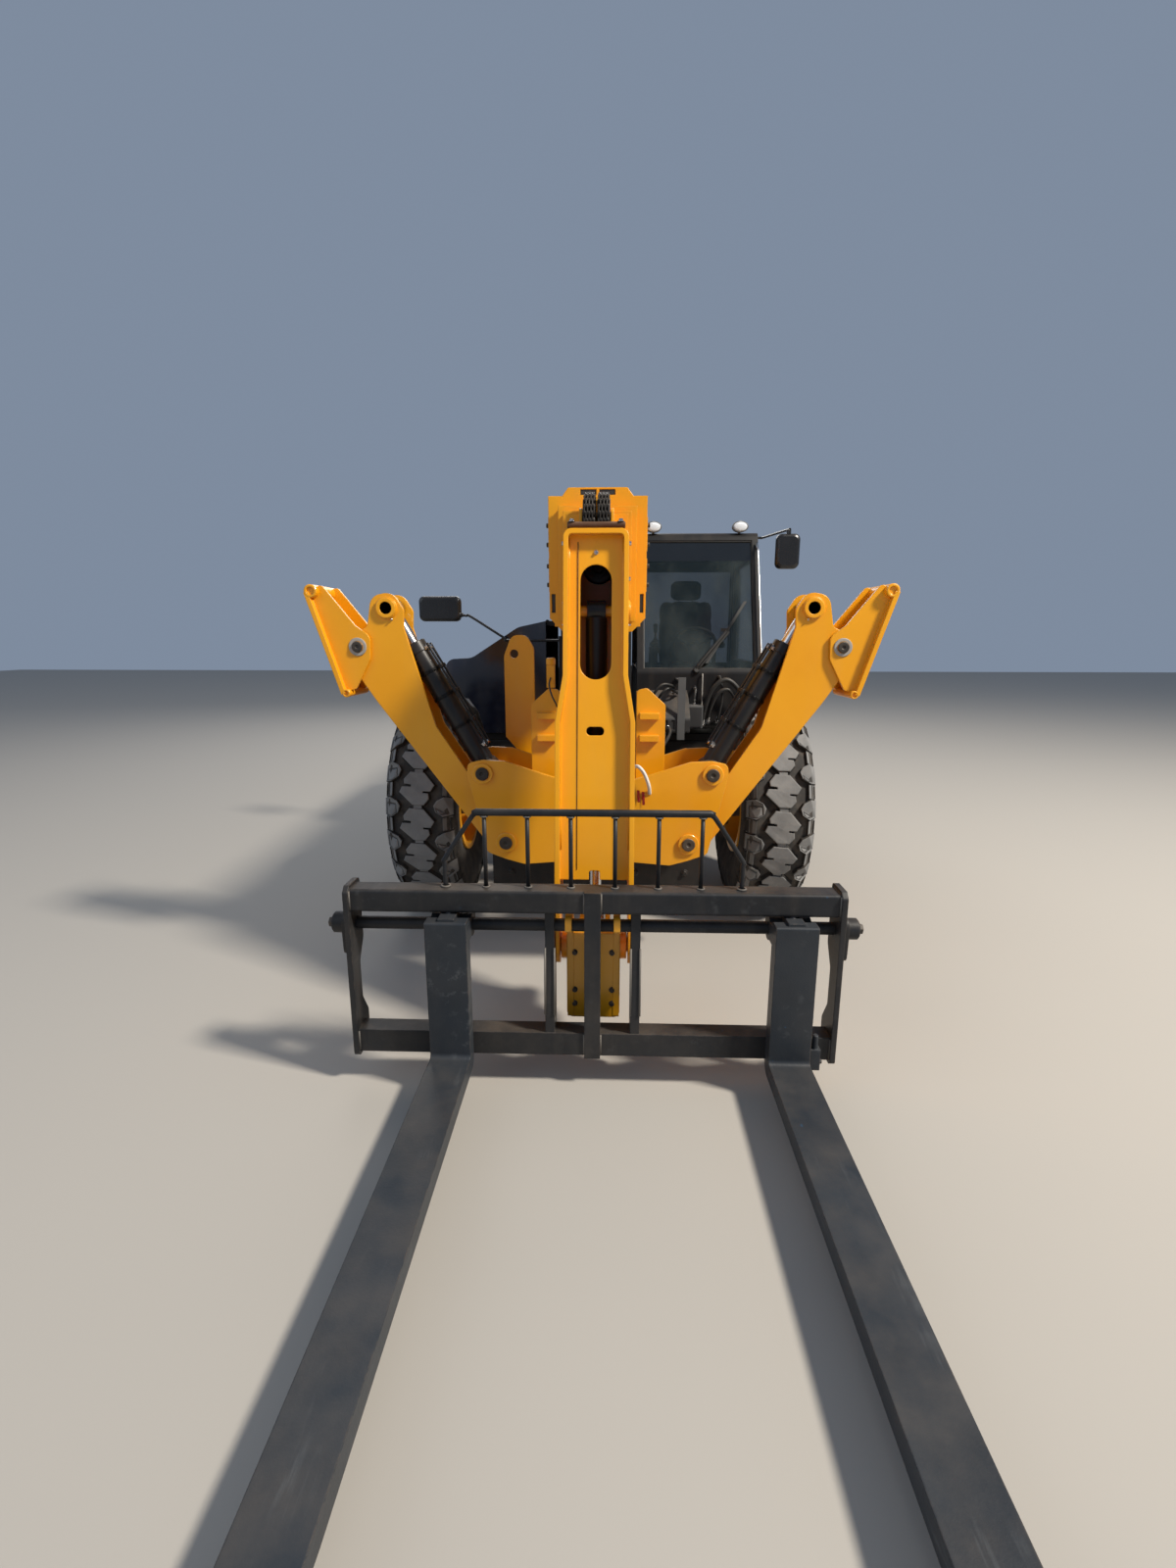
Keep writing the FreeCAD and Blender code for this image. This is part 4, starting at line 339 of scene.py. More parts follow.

# %% [markdown]
# ## Chrome, rubber, glass, cloth and plastic
# The piston rods are chromed and oily, so they only need a little unevenness in their roughness. Tyre
# rubber is dull, with brown dirt in its recesses. The cab's glass is a tinted pane with a dark band along
# its top, and its grey-green, less clear patches are a painted reflection.


# %% Other finishes
def chrome(name):
    material, flow, shader = start(name)
    film_and_painted_reflection = noise(flow, 14.0, 4.0, (1.0, 1.0, 0.3))
    colour = film_and_painted_reflection.above(0.3, 0.8).blend((0.62, 0.63, 0.65, 1), (0.46, 0.44, 0.42, 1))
    finish_with(shader, flow, {"Base Color": colour, "Roughness": 0.12 + film_and_painted_reflection * 0.2, "Metallic": 1.0},
                radius=0.002)
    return material


def rubber(name, worn_colour, dirt_colour, dirt_amount):
    material, flow, shader = start(name)
    clouds = noise(flow, 5.0, 5.0).above(0.20, 0.62)
    fine = noise(flow, 90.0, 3.0)
    colour = clouds.blend([share * 0.55 for share in worn_colour[:3]] + [1], worn_colour)
    dirt = noise(flow, 11.0, 5.0).above(0.42, 0.66) * dirt_amount
    colour = dirt.blend(colour, dirt_colour)
    finish_with(shader, flow, {"Base Color": colour, "Roughness": 0.82 + fine * 0.12},
                bump=fine * 0.5 + noise(flow, 35.0, 4.0) * 0.8, bump_distance=0.0015, radius=0.008)
    return material


VISOR_LOW, VISOR_FADE = 2.268, 0.006
# how solid the clean pane is, and what its painted reflection and its dark band add
PANE_ALPHA, PAINTED_REFLECTION_ALPHA, VISOR_ALPHA = 0.40, 0.20, 0.50


def pane(name):
    material, flow, shader = start(name)
    # grey-green patches of painted reflection, which also make the pane less clear
    film_and_painted_reflection = noise(flow, 3.0, 4.0, (1.0, 1.0, 0.4)).above(0.40, 0.85)
    colour = film_and_painted_reflection.blend((0.006, 0.012, 0.012, 1), (0.070, 0.085, 0.080, 1))
    visor = height(flow).above(VISOR_LOW, VISOR_LOW + VISOR_FADE)
    colour = visor.blend(colour, (0.004, 0.005, 0.006, 1))
    see = PANE_ALPHA + film_and_painted_reflection * PAINTED_REFLECTION_ALPHA + visor * VISOR_ALPHA
    for socket_name, value in (("Base Color", colour), ("Alpha", see)):
        flow.tree.links.new(value.socket, shader.inputs[socket_name])
    shader.inputs["Roughness"].default_value = 0.03
    shader.inputs["Coat Weight"].default_value = 1.0
    shader.inputs["Coat Roughness"].default_value = 0.02
    return material


def moulded(name, dark, light, roughness, scale=180.0, depth=0.6):
    material, flow, shader = start(name)
    grain = noise(flow, scale, 3.0)
    colour = noise(flow, 2.5, 4.0).above(0.3, 0.7).blend(dark, light)
    dusted = facing_up(flow) * noise(flow, 7.0, 4.0).above(0.35, 0.8) * 0.25
    colour = dusted.blend(colour, DUST)
    finish_with(shader, flow, {"Base Color": colour, "Roughness": roughness + grain * 0.12},
                bump=grain * depth, radius=0.004)
    return material


def lens(name, colour, rib_highlight):
    material, flow, shader = start(name)
    ribs = flow.node("ShaderNodeTexWave", {"Vector": place_on(flow), "Scale": 60.0}, bands_direction="X")
    # the ribs alternate with a paler colour: a painted highlight on the ribbed lens
    shade = ribs.above(0.0, 1.0).blend(colour, rib_highlight)
    finish_with(shader, flow, {"Base Color": shade, "Roughness": 0.10 + ribs * 0.1, "Coat Weight": 1.0},
                bump=ribs, radius=0.003)
    return material


# for each maker, its finishes and what they take
OTHERS = {
    chrome: {"rod_chrome": (), "bright_trim": (), "mirror_silver": ()},
    # worn colour, dirt colour, how much dirt
    rubber: {"tyre_rubber": ((0.040, 0.037, 0.035, 1), (0.120, 0.098, 0.078, 1), 0.60),
             "groove_rubber": ((0.026, 0.024, 0.022, 1), (0.075, 0.058, 0.044, 1), 0.45),
             "tread_block": ((0.205, 0.205, 0.205, 1), (0.27, 0.262, 0.25, 1), 0.40)},
    pane: {"cab_glass": ()},
    # dark, light, roughness, scale and depth of the grain
    moulded: {"seat_fabric": ((0.014, 0.014, 0.016, 1), (0.030, 0.030, 0.034, 1), 0.85, 420.0, 1.0),
              "cab_plastic": ((0.020, 0.020, 0.021, 1), (0.038, 0.038, 0.040, 1), 0.50),
              "grey_plastic": ((0.080, 0.082, 0.084, 1), (0.125, 0.127, 0.130, 1), 0.45),
              "mirror_shell": ((0.006, 0.006, 0.007, 1), (0.012, 0.012, 0.013, 1), 0.22, 60.0, 0.15),
              "hose_rubber": ((0.010, 0.010, 0.010, 1), (0.022, 0.021, 0.020, 1), 0.45, 60.0, 0.4),
              "white_plastic": ((0.62, 0.60, 0.56, 1), (0.74, 0.72, 0.68, 1), 0.45)},
    # colour, and the paler colour of its ribs, a painted highlight
    lens: {"lamp_lens": ((0.55, 0.58, 0.62, 1), (0.80, 0.82, 0.84, 1)),
           "tail_lens": ((0.36, 0.010, 0.008, 1), (0.62, 0.03, 0.02, 1))},
}
for maker, recipes in OTHERS.items():
    for name, recipe in recipes.items():
        finishes[name] = maker(name, *recipe)
print("finishes:", len(finishes))

# %% [markdown]
# ## Dressing the frame
# Each solid of the frame names the material slot that it takes, so most of them are dressed by that name
# alone.

# %% Dress the solids
slot_of = {row["node"]: row["material_slot"] for row in frame["record"]["subparts"]}


def dress(piece, finish):
    material = finishes[finish]
    if not piece.material_slots:
        piece.data.materials.append(material)
    for material_slot in piece.material_slots:
        material_slot.material = material


for node_name, node_object in nodes.items():
    dress(node_object, slot_of[node_name])
print("dressed", len(nodes), "solids")

# %% [markdown]
# ## Helpers for small pieces
# Many small pieces are turned on a lathe: pins, nuts, lamps, rims. `lathe` spins a short profile around an
# axis. `solid_from` makes a mesh from one or more parts, rides it on its body and dresses it. Repeated
# pieces share one mesh, because hundreds of objects would only slow the scene. A part is a pair: its points
# and its faces.


# %% Mesh helpers
def gather(parts):
    """Many (points, faces) as one."""
    points, faces = [], []
    for some_points, some_faces in parts:
        first = len(points)
        points += list(some_points)
        faces += [tuple(first + index for index in face) for face in some_faces]
    return points, faces


def solid_from(name, parts, body, finish, smooth=False):
    points, faces = gather(parts)
    mesh = bpy.data.meshes.new(name)
    mesh.from_pydata([tuple(point) for point in points], [], faces)
    work = bmesh.new()
    work.from_mesh(mesh)
    bmesh.ops.recalc_face_normals(work, faces=work.faces)
    for face in work.faces:
        face.smooth = smooth
    work.to_mesh(mesh)
    work.free()
    piece = bpy.data.objects.new(name, mesh)
    bpy.context.scene.collection.objects.link(piece)
    dress(piece, finish)
    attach(piece, body)
    return piece


def ring_faces(rows, count, closed=False):
    """Faces that join rings of points. Where they aren't closed, both end rings get a face."""
    faces = []
    for row in range(rows if closed else rows - 1):
        low, high = row * count, (row + 1) % rows * count
        for index in range(count):
            after = (index + 1) % count
            faces.append((low + index, low + after, high + after, high + index))
    if not closed:
        faces.append(tuple(range(count - 1, -1, -1)))
        faces.append(tuple((rows - 1) * count + index for index in range(count)))
    return faces


def circle(count, shift=0.0):
    """Angles spaced evenly round a circle, shifted by a share of their spacing."""
    return [2 * math.pi * (turn + shift) / count for turn in range(count)]


def rays(side, other, count, shift=0.0):
    """Unit directions at those angles, in the plane of two directions."""
    return [side * math.cos(angle) + other * math.sin(angle) for angle in circle(count, shift)]


def frame_along(axis):
    """Two directions square to an axis, and the axis itself."""
    along = Vector(axis).normalized()
    side = along.orthogonal().normalized()
    return side, along.cross(side), along


def lathe(profile, centre, axis, segments=24):
    """A profile of (distance along the axis, radius), spun round the axis and closed at both ends."""
    side, other, along = frame_along(axis)
    points = [Vector(centre) + along * step + ray * radius
              for step, radius in profile for ray in rays(side, other, segments)]
    return points, ring_faces(len(profile), segments)


def box_part(low, high):
    points = [Vector((x, y, z)) for x in (low[0], high[0]) for y in (low[1], high[1])
              for z in (low[2], high[2])]
    return points, [(0, 1, 3, 2), (4, 6, 7, 5), (0, 4, 5, 1), (2, 3, 7, 6), (0, 2, 6, 4), (1, 5, 7, 3)]


def hex_bolt(centre, axis, radius):
    """A hexagon head on its washer."""
    washer_height = radius * 0.22
    washer = lathe([(0.0, radius * 1.45), (washer_height, radius * 1.45)], centre, axis, 16)
    top = Vector(centre) + Vector(axis).normalized() * washer_height
    head = lathe([(0.0, radius), (radius * 0.8, radius), (radius * 0.95, radius * 0.8)], top, axis, 6)
    return gather([washer, head])


print("mesh helpers ready")

# %% [markdown]
# ## Tyres
# The tyres carry large worn lugs: a middle row of notched, S-shaped ones, and rounder ones on both
# shoulders. The worn tops are pale and the grooves are dark, so each lug is made twice from one outline: a
# dark foot, and a pale cap on it. A carcass is spun from the tyre's section below them, and the outer lugs
# bend down over its shoulder.

# %% Tyre meshes
TYRE_RADIUS = 0.6595
BLOCK_DEPTH = 0.030
BLOCK_WEAR = 0.002
PITCHES = 20
CARCASS_STEPS = 104
# where the tread starts to bend down over the shoulder, and how fast it bends
SHOULDER_FROM = 0.135
SHOULDER_BEND = 18.0
# distance across from the middle, and radius
CARCASS = [(-0.1555, 0.306), (-0.158, 0.334), (-0.176, 0.372), (-0.190, 0.430), (-0.197, 0.490),
           (-0.192, 0.550), (-0.181, 0.600), (-0.165, 0.624), (-0.120, 0.629), (0.0, 0.630)]
# outlines of the lugs, as shares of their half length and half width
MIDDLE_LUG = [(0.93, -0.25), (0.95, 0.42), (0.60, 0.72), (0.28, 0.68), (0.25, 0.36), (0.15, 0.36),
              (0.17, 0.80), (-0.20, 1.03), (-0.93, 0.40), (-1.0, -0.44), (-0.56, -0.80), (-0.30, -0.76),
              (-0.25, -0.36), (-0.12, -0.36), (-0.14, -0.88), (0.19, -1.03)]
OUTER_LUG = [(1.0, 0.05), (0.92, 1.0), (-0.92, 1.0), (-1.0, 0.15), (-0.62, -0.66), (-0.12, -1.0),
             (0.52, -0.78)]
BAR_LUG = [(0.9, -1.0), (1.0, 1.0), (-1.0, 1.0), (-0.9, -1.0)]
# outline, middle, half width, half length, share of a pitch, how much lower it lies
LUGS = [(MIDDLE_LUG, 0.0, 0.096, 0.098, 0.0, 0.0), (OUTER_LUG, 0.144, 0.050, 0.057, 0.5, 0.0),
        (OUTER_LUG, -0.144, -0.050, 0.057, 0.5, 0.0), (BAR_LUG, 0.166, 0.024, 0.044, 0.0, 0.012),
        (BAR_LUG, -0.166, -0.024, 0.044, 0.0, 0.012), (BAR_LUG, 0.004, 0.024, 0.016, 0.5, 0.009)]
# rings of a lug's dark foot and of its worn cap: scale, share of the depth
FOOT_RINGS = [(1.08, -0.1), (1.03, 0.4), (0.99, 0.90)]
CAP_RINGS = [(0.99, 0.84), (1.0, 0.93), (0.955, 1.0)]
# section of a rib on the tyre's side: half angle, radius, how far out
RIB = [(0.040, 0.545, 0.1915), (0.048, 0.575, 0.1955), (0.058, 0.612, 0.184), (0.058, 0.600, 0.165),
       (0.040, 0.545, 0.165)]
RIB_FACES = [(0, 1, 3, 2), (2, 3, 5, 4), (4, 5, 7, 6), (6, 7, 9, 8), (8, 9, 1, 0), (0, 2, 4, 6, 8),
             (9, 7, 5, 3, 1)]


def tread_radius(across):
    over = max(0.0, abs(across) - SHOULDER_FROM)
    return TYRE_RADIUS - SHOULDER_BEND * over * over


def on_tyre(centre, across, radius, angle):
    return Vector((centre[0] + across, centre[1] + radius * math.cos(angle),
                   centre[2] + radius * math.sin(angle)))


def make_carcass(centre):
    section = CARCASS + [(-across, radius) for across, radius in reversed(CARCASS[:-1])]
    points = [on_tyre(centre, across, radius, angle) for angle in circle(CARCASS_STEPS)
              for across, radius in section]
    return points, ring_faces(CARCASS_STEPS, len(section), closed=True)


def make_lugs(centre, seed, rings):
    chance = random.Random(seed)
    parts = []
    for pitch in range(PITCHES):
        for outline, middle, half_width, half_length, turn, drop in LUGS:
            angle = 2 * math.pi * (pitch + turn) / PITCHES
            wear = drop + chance.uniform(0.0, BLOCK_WEAR)
            points = []
            for scale, rise in rings:
                for along, aside in outline:
                    across = middle + aside * half_width * scale
                    radius = tread_radius(across) - BLOCK_DEPTH * (1 - rise) - wear * rise
                    points.append(on_tyre(centre, across, radius,
                                          angle + along * half_length * scale / TYRE_RADIUS))
            parts.append((points, ring_faces(len(rings), len(outline))))
    return gather(parts)


def make_side_ribs(centre):
    parts = []
    for side in (-1, 1):
        for angle in circle(PITCHES):
            points = [on_tyre(centre, side * out, radius, angle + turn)
                      for half_angle, radius, out in RIB for turn in (-half_angle, half_angle)]
            parts.append((points, RIB_FACES))
    return gather(parts)


WHEELS = ["front_right", "front_left", "rear_right", "rear_left"]
hubs = {}
for seed, place in enumerate(WHEELS):
    low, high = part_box("tyre_" + place)
    hub = tuple((low[axis] + high[axis]) / 2 for axis in range(3))
    hubs[place] = hub
    body = "wheel_" + place
    carcass = solid_from("carcass_" + place, [make_carcass(hub)], body, "tyre_rubber", smooth=True)
    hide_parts("tyre_" + place)
    feet = [make_lugs(hub, seed, FOOT_RINGS), make_side_ribs(hub)]
    solid_from("lug_feet_" + place, feet, body, "groove_rubber")
    solid_from("tread_" + place, [make_lugs(hub, seed, CAP_RINGS)], body, "tread_block")
print("tyres", len(WHEELS), "lugs on each", PITCHES * len(LUGS))

# %% [markdown]
# ## Places on the machine
# The frame's drawings measure "ahead" from the front axle, so `spot` turns across, ahead and height into a
# point, and `on_boom` does the same along the sloping boom. `tube` sweeps a circle along a smooth line
# through a few points, for hoses, rails and weld beads. `slab` gives a flat outline its thickness.

# %% Places and tubes
AXLE_LINE = hubs["front_left"][1]
BOOM_PIVOT_AHEAD = -3.70
BOOM_PIVOT_Z = 2.25
BOOM_SLOPE = math.radians(2.9)
FORWARD = Vector((0, -1, 0))
BACKWARD = Vector((0, 1, 0))
UPWARD = Vector((0, 0, 1))
LEFTWARD = Vector((1, 0, 0))
SIDE_NAMES = {-1: "right", 1: "left"}
RING_SEGMENTS = 20
BEAD_SEGMENTS = 6


def spot(x, ahead, z):
    return Vector((x, AXLE_LINE - ahead, z))


def spots(*places):
    return [spot(*place) for place in places]


def mirrored(side, *places):
    """Points given for the left side, on the side asked for."""
    return [spot(side * x, ahead, z) for x, ahead, z in places]


def on_boom(x, along, above):
    ahead = BOOM_PIVOT_AHEAD + along * math.cos(BOOM_SLOPE) + above * math.sin(BOOM_SLOPE)
    return spot(x, ahead, BOOM_PIVOT_Z + above * math.cos(BOOM_SLOPE) - along * math.sin(BOOM_SLOPE))


BOOM_AXIS = on_boom(0, 5.0, 0) - on_boom(0, 4.0, 0)


def smooth_line(points, steps):
    """Points on a curve that passes through every point given."""
    line = []
    for index in range(len(points) - 1):
        before = points[max(index - 1, 0)]
        start, end = points[index], points[index + 1]
        after = points[min(index + 2, len(points) - 1)]
        for step in range(steps):
            t = step / steps
            line.append(0.5 * (2 * start + (end - before) * t
                               + (2 * before - 5 * start + 4 * end - after) * t * t
                               + (3 * start - before - 3 * end + after) * t * t * t))
    line.append(points[-1])
    return line


def tube(points, radius, segments=8, steps=6):
    line = smooth_line([Vector(point) for point in points], steps)
    rings = []
    side = (line[1] - line[0]).normalized().orthogonal()
    for index, point in enumerate(line):
        along = (line[min(index + 1, len(line) - 1)] - line[max(index - 1, 0)]).normalized()
        side = (side - along * side.dot(along)).normalized()
        rings += [point + ray * radius for ray in rays(side, along.cross(side), segments)]
    return rings, ring_faces(len(line), segments)


def ring_bead(centre, axis, radius, thickness):
    """A round bead of weld about an axis."""
    side, other, along = frame_along(axis)
    points = [Vector(centre) + ray * radius + around * thickness
              for ray in rays(side, other, RING_SEGMENTS) for around in rays(ray, along, BEAD_SEGMENTS)]
    return points, ring_faces(RING_SEGMENTS, BEAD_SEGMENTS, closed=True)


def slab(corners, direction, thickness):
    """A flat plate from its corners, with a thickness along a direction."""
    count = len(corners)
    shift = Vector(direction).normalized() * thickness
    points = [Vector(corner) for corner in corners] + [Vector(corner) + shift for corner in corners]
    faces = [tuple(range(count)), tuple(range(2 * count - 1, count - 1, -1))]
    faces += [(index, (index + 1) % count, count + (index + 1) % count, count + index)
              for index in range(count)]
    return points, faces


def block(low, high):
    """A box between two corners, given as across, ahead and height."""
    return box_part(spot(*low), spot(*high))


def pin_end(centre, axis, radius):
    """The turned end of a pin, with a chamfer and a centre drilling."""
    return lathe([(-0.002, radius), (0.003, radius), (0.006, radius - 0.003), (0.006, radius * 0.36),
                  (0.002, radius * 0.30), (0.002, 0.001)], centre, axis, 28)


def collar_ring(centre, axis, inner, outer, thickness=0.005):
    return lathe([(0.0, outer), (thickness * 0.7, outer), (thickness, outer - 0.002), (thickness, inner),
                  (0.0, inner)], centre, axis, 32)


def nipple(centre, axis):
    return lathe([(0.0, 0.006), (0.006, 0.006), (0.008, 0.004), (0.012, 0.0045), (0.015, 0.002)],
                 centre, axis, 10)


def bolt_circle(middle, outward, side, other, count, radius, size, shift=0.0):
    """Bolts round a circle in the plane of two directions."""
    return [hex_bolt(middle + ray * radius, outward, size) for ray in rays(side, other, count, shift)]


print("places ready, front axle at", round(AXLE_LINE, 4))

# %% [markdown]
# ## Pins, washers and grease nipples
# Every pivot shows the end of a dark pin. The frame's pins end flat, so a turned end goes on each one, with
# a ring around it and a small grease nipple beside it. Two tables hold them all, for the machine's left
# side.

# %% Pins of the stabilizers and the boom head
# body, across, height; ahead of the pin's face, its ring and its back; radius of the pin, the ring's inside
# and outside, and the ring's thickness
STABILIZER_PINS = [
    ("root", 0.440, 0.720, 1.174, 1.166, 0.856, 0.0315, 0.0325, 0.050, 0.006),
    ("root", 0.545, 1.060, 1.174, 1.166, 0.856, 0.0315, 0.0325, 0.050, 0.006),
    ("leg_", 0.980, 1.826, 1.101, 1.110, 0.929, 0.026, 0.028, 0.046, 0.005),
    ("foot_", 1.120, 1.650, 1.124, 1.116, 0.906, 0.0255, 0.0265, 0.042, 0.005),
]
# body, centre; radius of the pin, the ring's inside and outside; grease nipple
CROSS_PINS = [
    ("boom_inner", spot(0.166, 1.700, 0.450), 0.030, 0.031, 0.055, spot(0.158, 1.640, 0.420)),
    ("boom_inner", spot(0.136, 1.430, 1.800), 0.022, 0.023, 0.038, spot(0.128, 1.430, 1.745)),
    ("root", spot(0.308, -3.700, 2.250), 0.046, 0.047, 0.100, spot(0.292, -3.700, 2.105)),
    ("boom_outer", on_boom(0.108, 2.320, -0.365), 0.036, 0.037, 0.050, None),
    ("root", spot(0.290, -3.120, 0.950), 0.038, 0.039, 0.070, None),
    ("carriage", spot(0.980, 1.930, 0.635), 0.020, 0.021, 0.036, None),
]
pin_parts, ring_parts, nipple_parts = {}, {}, {}
for side, side_name in SIDE_NAMES.items():
    for body, x, z, front, ring_front, back, radius, inner, outer, thickness in STABILIZER_PINS:
        body = body if body == "root" else body + side_name
        ends = [pin_end(spot(side * x, front, z), FORWARD, radius),
                pin_end(spot(side * x, back, z), BACKWARD, radius)]
        pin_parts.setdefault(body, []).extend(ends)
        ring = collar_ring(spot(side * x, ring_front, z), FORWARD, inner, outer, thickness)
        ring_parts.setdefault(body, []).append(ring)
    nipple_parts["leg_" + side_name] = [nipple(spot(side * 0.957, 1.100, 1.775), FORWARD)]
    outward = LEFTWARD * side
    to_side = Matrix.Diagonal((side, 1, 1))
    for body, centre, radius, inner, outer, nipple_at in CROSS_PINS:
        pin_parts.setdefault(body, []).append(pin_end(to_side @ centre, outward, radius))
        ring_parts.setdefault(body, []).append(collar_ring(to_side @ centre, outward, inner, outer))
        if nipple_at:
            nipple_parts.setdefault(body, []).append(nipple(to_side @ nipple_at, outward))

for body, parts in pin_parts.items():
    solid_from("pin_ends_" + body, parts, body, "pin_steel")
for body, parts in ring_parts.items():
    slot_name = "carriage_paint" if body == "carriage" else "yellow_paint"
    solid_from("pin_rings_" + body, parts, body, "washer_steel"
               if body.startswith("foot") else slot_name)
for body, parts in nipple_parts.items():
    solid_from("grease_nipples_" + body, parts, body, "bright_trim")
print("pin ends", sum(len(parts) for parts in pin_parts.values()))

# %% [markdown]
# ## Leaf chains
# Two leaf chains run over the grooved rollers and down into the head. They could be an array along a curve,
# but here each link is placed by its distance along the line, so its length stays true round the roller.

# %% Leaf chains
LINK = 0.0255
ROLLER_AT = spot(0, 1.452, 2.170)
CHAIN_RADIUS = 0.0735
CHAIN_ARC = CHAIN_RADIUS * math.pi / 2
CHAIN_BACK = 0.085
CHAIN_DROP = 0.055
TIP_STEPS = 4


def chain_place(distance):
    """A point on the chain's line, from its rear end over the roller and down."""
    if distance < CHAIN_BACK:
        return ROLLER_AT + BACKWARD * (CHAIN_BACK - distance) + UPWARD * CHAIN_RADIUS
    if distance < CHAIN_BACK + CHAIN_ARC:
        angle = (distance - CHAIN_BACK) / CHAIN_RADIUS
        return ROLLER_AT + UPWARD * math.cos(angle) * CHAIN_RADIUS + FORWARD * math.sin(angle) * CHAIN_RADIUS
    return ROLLER_AT + FORWARD * CHAIN_RADIUS - UPWARD * (distance - CHAIN_BACK - CHAIN_ARC)


def link_plate(x, start, end, thickness, half_height):
    """One plate of a link, rounded at both ends, between two points of the chain's line."""
    along = (end - start).normalized()
    rise = LEFTWARD.cross(along)
    outline = []
    for tip, turn in ((end, 0), (start, math.pi)):
        for step in range(TIP_STEPS + 1):
            angle = turn - math.pi / 2 + math.pi * step / TIP_STEPS
            outline.append(tip + (along * math.cos(angle) + rise * math.sin(angle)) * half_height
                           + Vector((x - thickness / 2, 0, 0)))
    return slab(outline, LEFTWARD, thickness)


chain_parts = []
link_count = int((CHAIN_BACK + CHAIN_ARC + CHAIN_DROP) / LINK)
for middle in (-0.028, 0.028):
    for link in range(link_count):
        start, end = chain_place(link * LINK), chain_place((link + 1) * LINK)
        for row in (-0.019, -0.0065, 0.0065, 0.019) if link % 2 else (-0.0127, 0.0, 0.0127):
            chain_parts.append(link_plate(middle + row, start, end, 0.0055, 0.0105))
        chain_parts.append(lathe([(-0.0235, 0.0045), (0.0235, 0.0045)], start + LEFTWARD * middle,
                                 LEFTWARD, 8))
solid_from("leaf_chains", chain_parts, "boom_inner", "chain_steel")
print("chain links", 2 * link_count)

# %% [markdown]
# ## Trim of the head and its collar
# A rusty bar with a bolt at each end crosses the head's top edge, black wear pads sit in the collar's
# pockets, and the collar has shim plates down its sides. They are plain slabs that follow the boom's own
# slope.

# %% Bar, pads and bolts of the boom head
top_bar = lathe([(-0.113, 0.010), (-0.110, 0.013), (0.110, 0.013), (0.113, 0.010)], spot(0, 1.532, 2.121),
                LEFTWARD, 16)
solid_from("head_top_bar", [top_bar], "boom_inner", "rusty_bar")
head_bolts = [hex_bolt(spot(0.0, 1.530, 2.020), FORWARD, 0.006)]
pads, shims, collar_bolts = [], [], []
for side in (-1, 1):
    outward = LEFTWARD * side
    head_bolts.append(hex_bolt(spot(side * 0.095, 1.536, 2.133), UPWARD, 0.009))
    for ahead, z in ((1.470, 2.060), (1.400, 1.930)):
        head_bolts.append(hex_bolt(spot(side * 0.1285, ahead, z), outward, 0.009))
    # the pads: across, along the boom, half width, lower and upper edge, thickness
    for x, along, half, low, high, thickness in ((0.040, 4.907, 0.0325, 0.287, 0.307, 0.021),
                                                 (0.194, 4.908, 0.007, -0.199, -0.121, 0.019)):
        corners = [on_boom(side * x + step, along, above)
                   for step, above in ((-half, low), (half, low), (half, high), (-half, high))]
        pads.append(slab(corners, BOOM_AXIS, thickness))
    for low, high in ((0.06, 0.20), (-0.11, 0.03)):
        corners = [on_boom(side * 0.212, along, above)
                   for along, above in ((4.825, low), (4.900, low), (4.900, high), (4.825, high))]
        shims.append(slab(corners, outward, 0.004))
        for above in (low + 0.03, high - 0.03):
            collar_bolts.append(hex_bolt(on_boom(side * 0.216, 4.862, above), outward, 0.010))
solid_from("head_bolts", head_bolts, "boom_inner", "bright_trim")
solid_from("chain_anchor", [block((-0.052, 1.345, 2.106), (0.052, 1.373, 2.256))], "boom_inner",
           "yellow_paint")
solid_from("wear_pads", pads, "boom_outer", "cab_plastic")
solid_from("collar_shims", shims, "boom_outer", "yellow_paint")
solid_from("collar_bolts", collar_bolts, "boom_outer", "pin_steel")
print("bolts on the head and its collar", len(head_bolts) + len(collar_bolts))

# %% [markdown]
# ## Hoses and fittings at the head
# A small yellow valve with a thin lead sits beside the head on the right. A white hose and two red tags
# show on the left. A hose needs only a few points, because `tube` rounds the line between them.

# %% Valve, leads and tags
valve = [block((-0.252, 0.972, 1.452), (-0.212, 0.932, 1.560)),
         lathe([(0.0, 0.020), (0.006, 0.023), (0.030, 0.023), (0.036, 0.018)], spot(-0.232, 0.952, 1.560),
               UPWARD, 20)]
solid_from("bracket_valve", valve, "root", "yellow_paint")
lead = tube(spots((-0.232, 0.974, 1.500), (-0.236, 1.010, 1.470), (-0.222, 1.030, 1.420),
                  (-0.205, 1.010, 1.380), (-0.203, 0.962, 1.360)), 0.004)
solid_from("valve_lead", [lead], "root", "cab_plastic")
white_hose = tube(spots((0.176, 1.155, 1.098), (0.196, 1.185, 1.101), (0.222, 1.192, 1.070),
                        (0.243, 1.188, 1.015), (0.250, 1.158, 0.968)), 0.0085, 12)
solid_from("white_hose", [white_hose], "root", "white_plastic")
tags = [slab(spots((x, 1.163, low), (x + 0.012, 1.168, low + 0.004), (x + 0.009, 1.166, high),
                   (x - 0.004, 1.163, high)), FORWARD, 0.002)
        for x, low, high in ((0.193, 0.925, 0.985), (0.216, 0.912, 0.978))]
solid_from("red_tags", tags, "root", "tail_lens")
print("valve, white hose and", len(tags), "tags")

# %% [markdown]
# ## Welds and hoses of the neck
# A bead of weld runs down each edge of the neck and a thin rusty one down its web. They follow the slope of
# the front plate, which `neck_front` gives. The tilt cylinder behind the slot has its hoses.

# %% Welds and hoses of the neck
# ahead and height of the neck's front at its top and at its foot
NECK_TOP, NECK_FOOT = (1.550, 2.108), (1.760, 0.740)
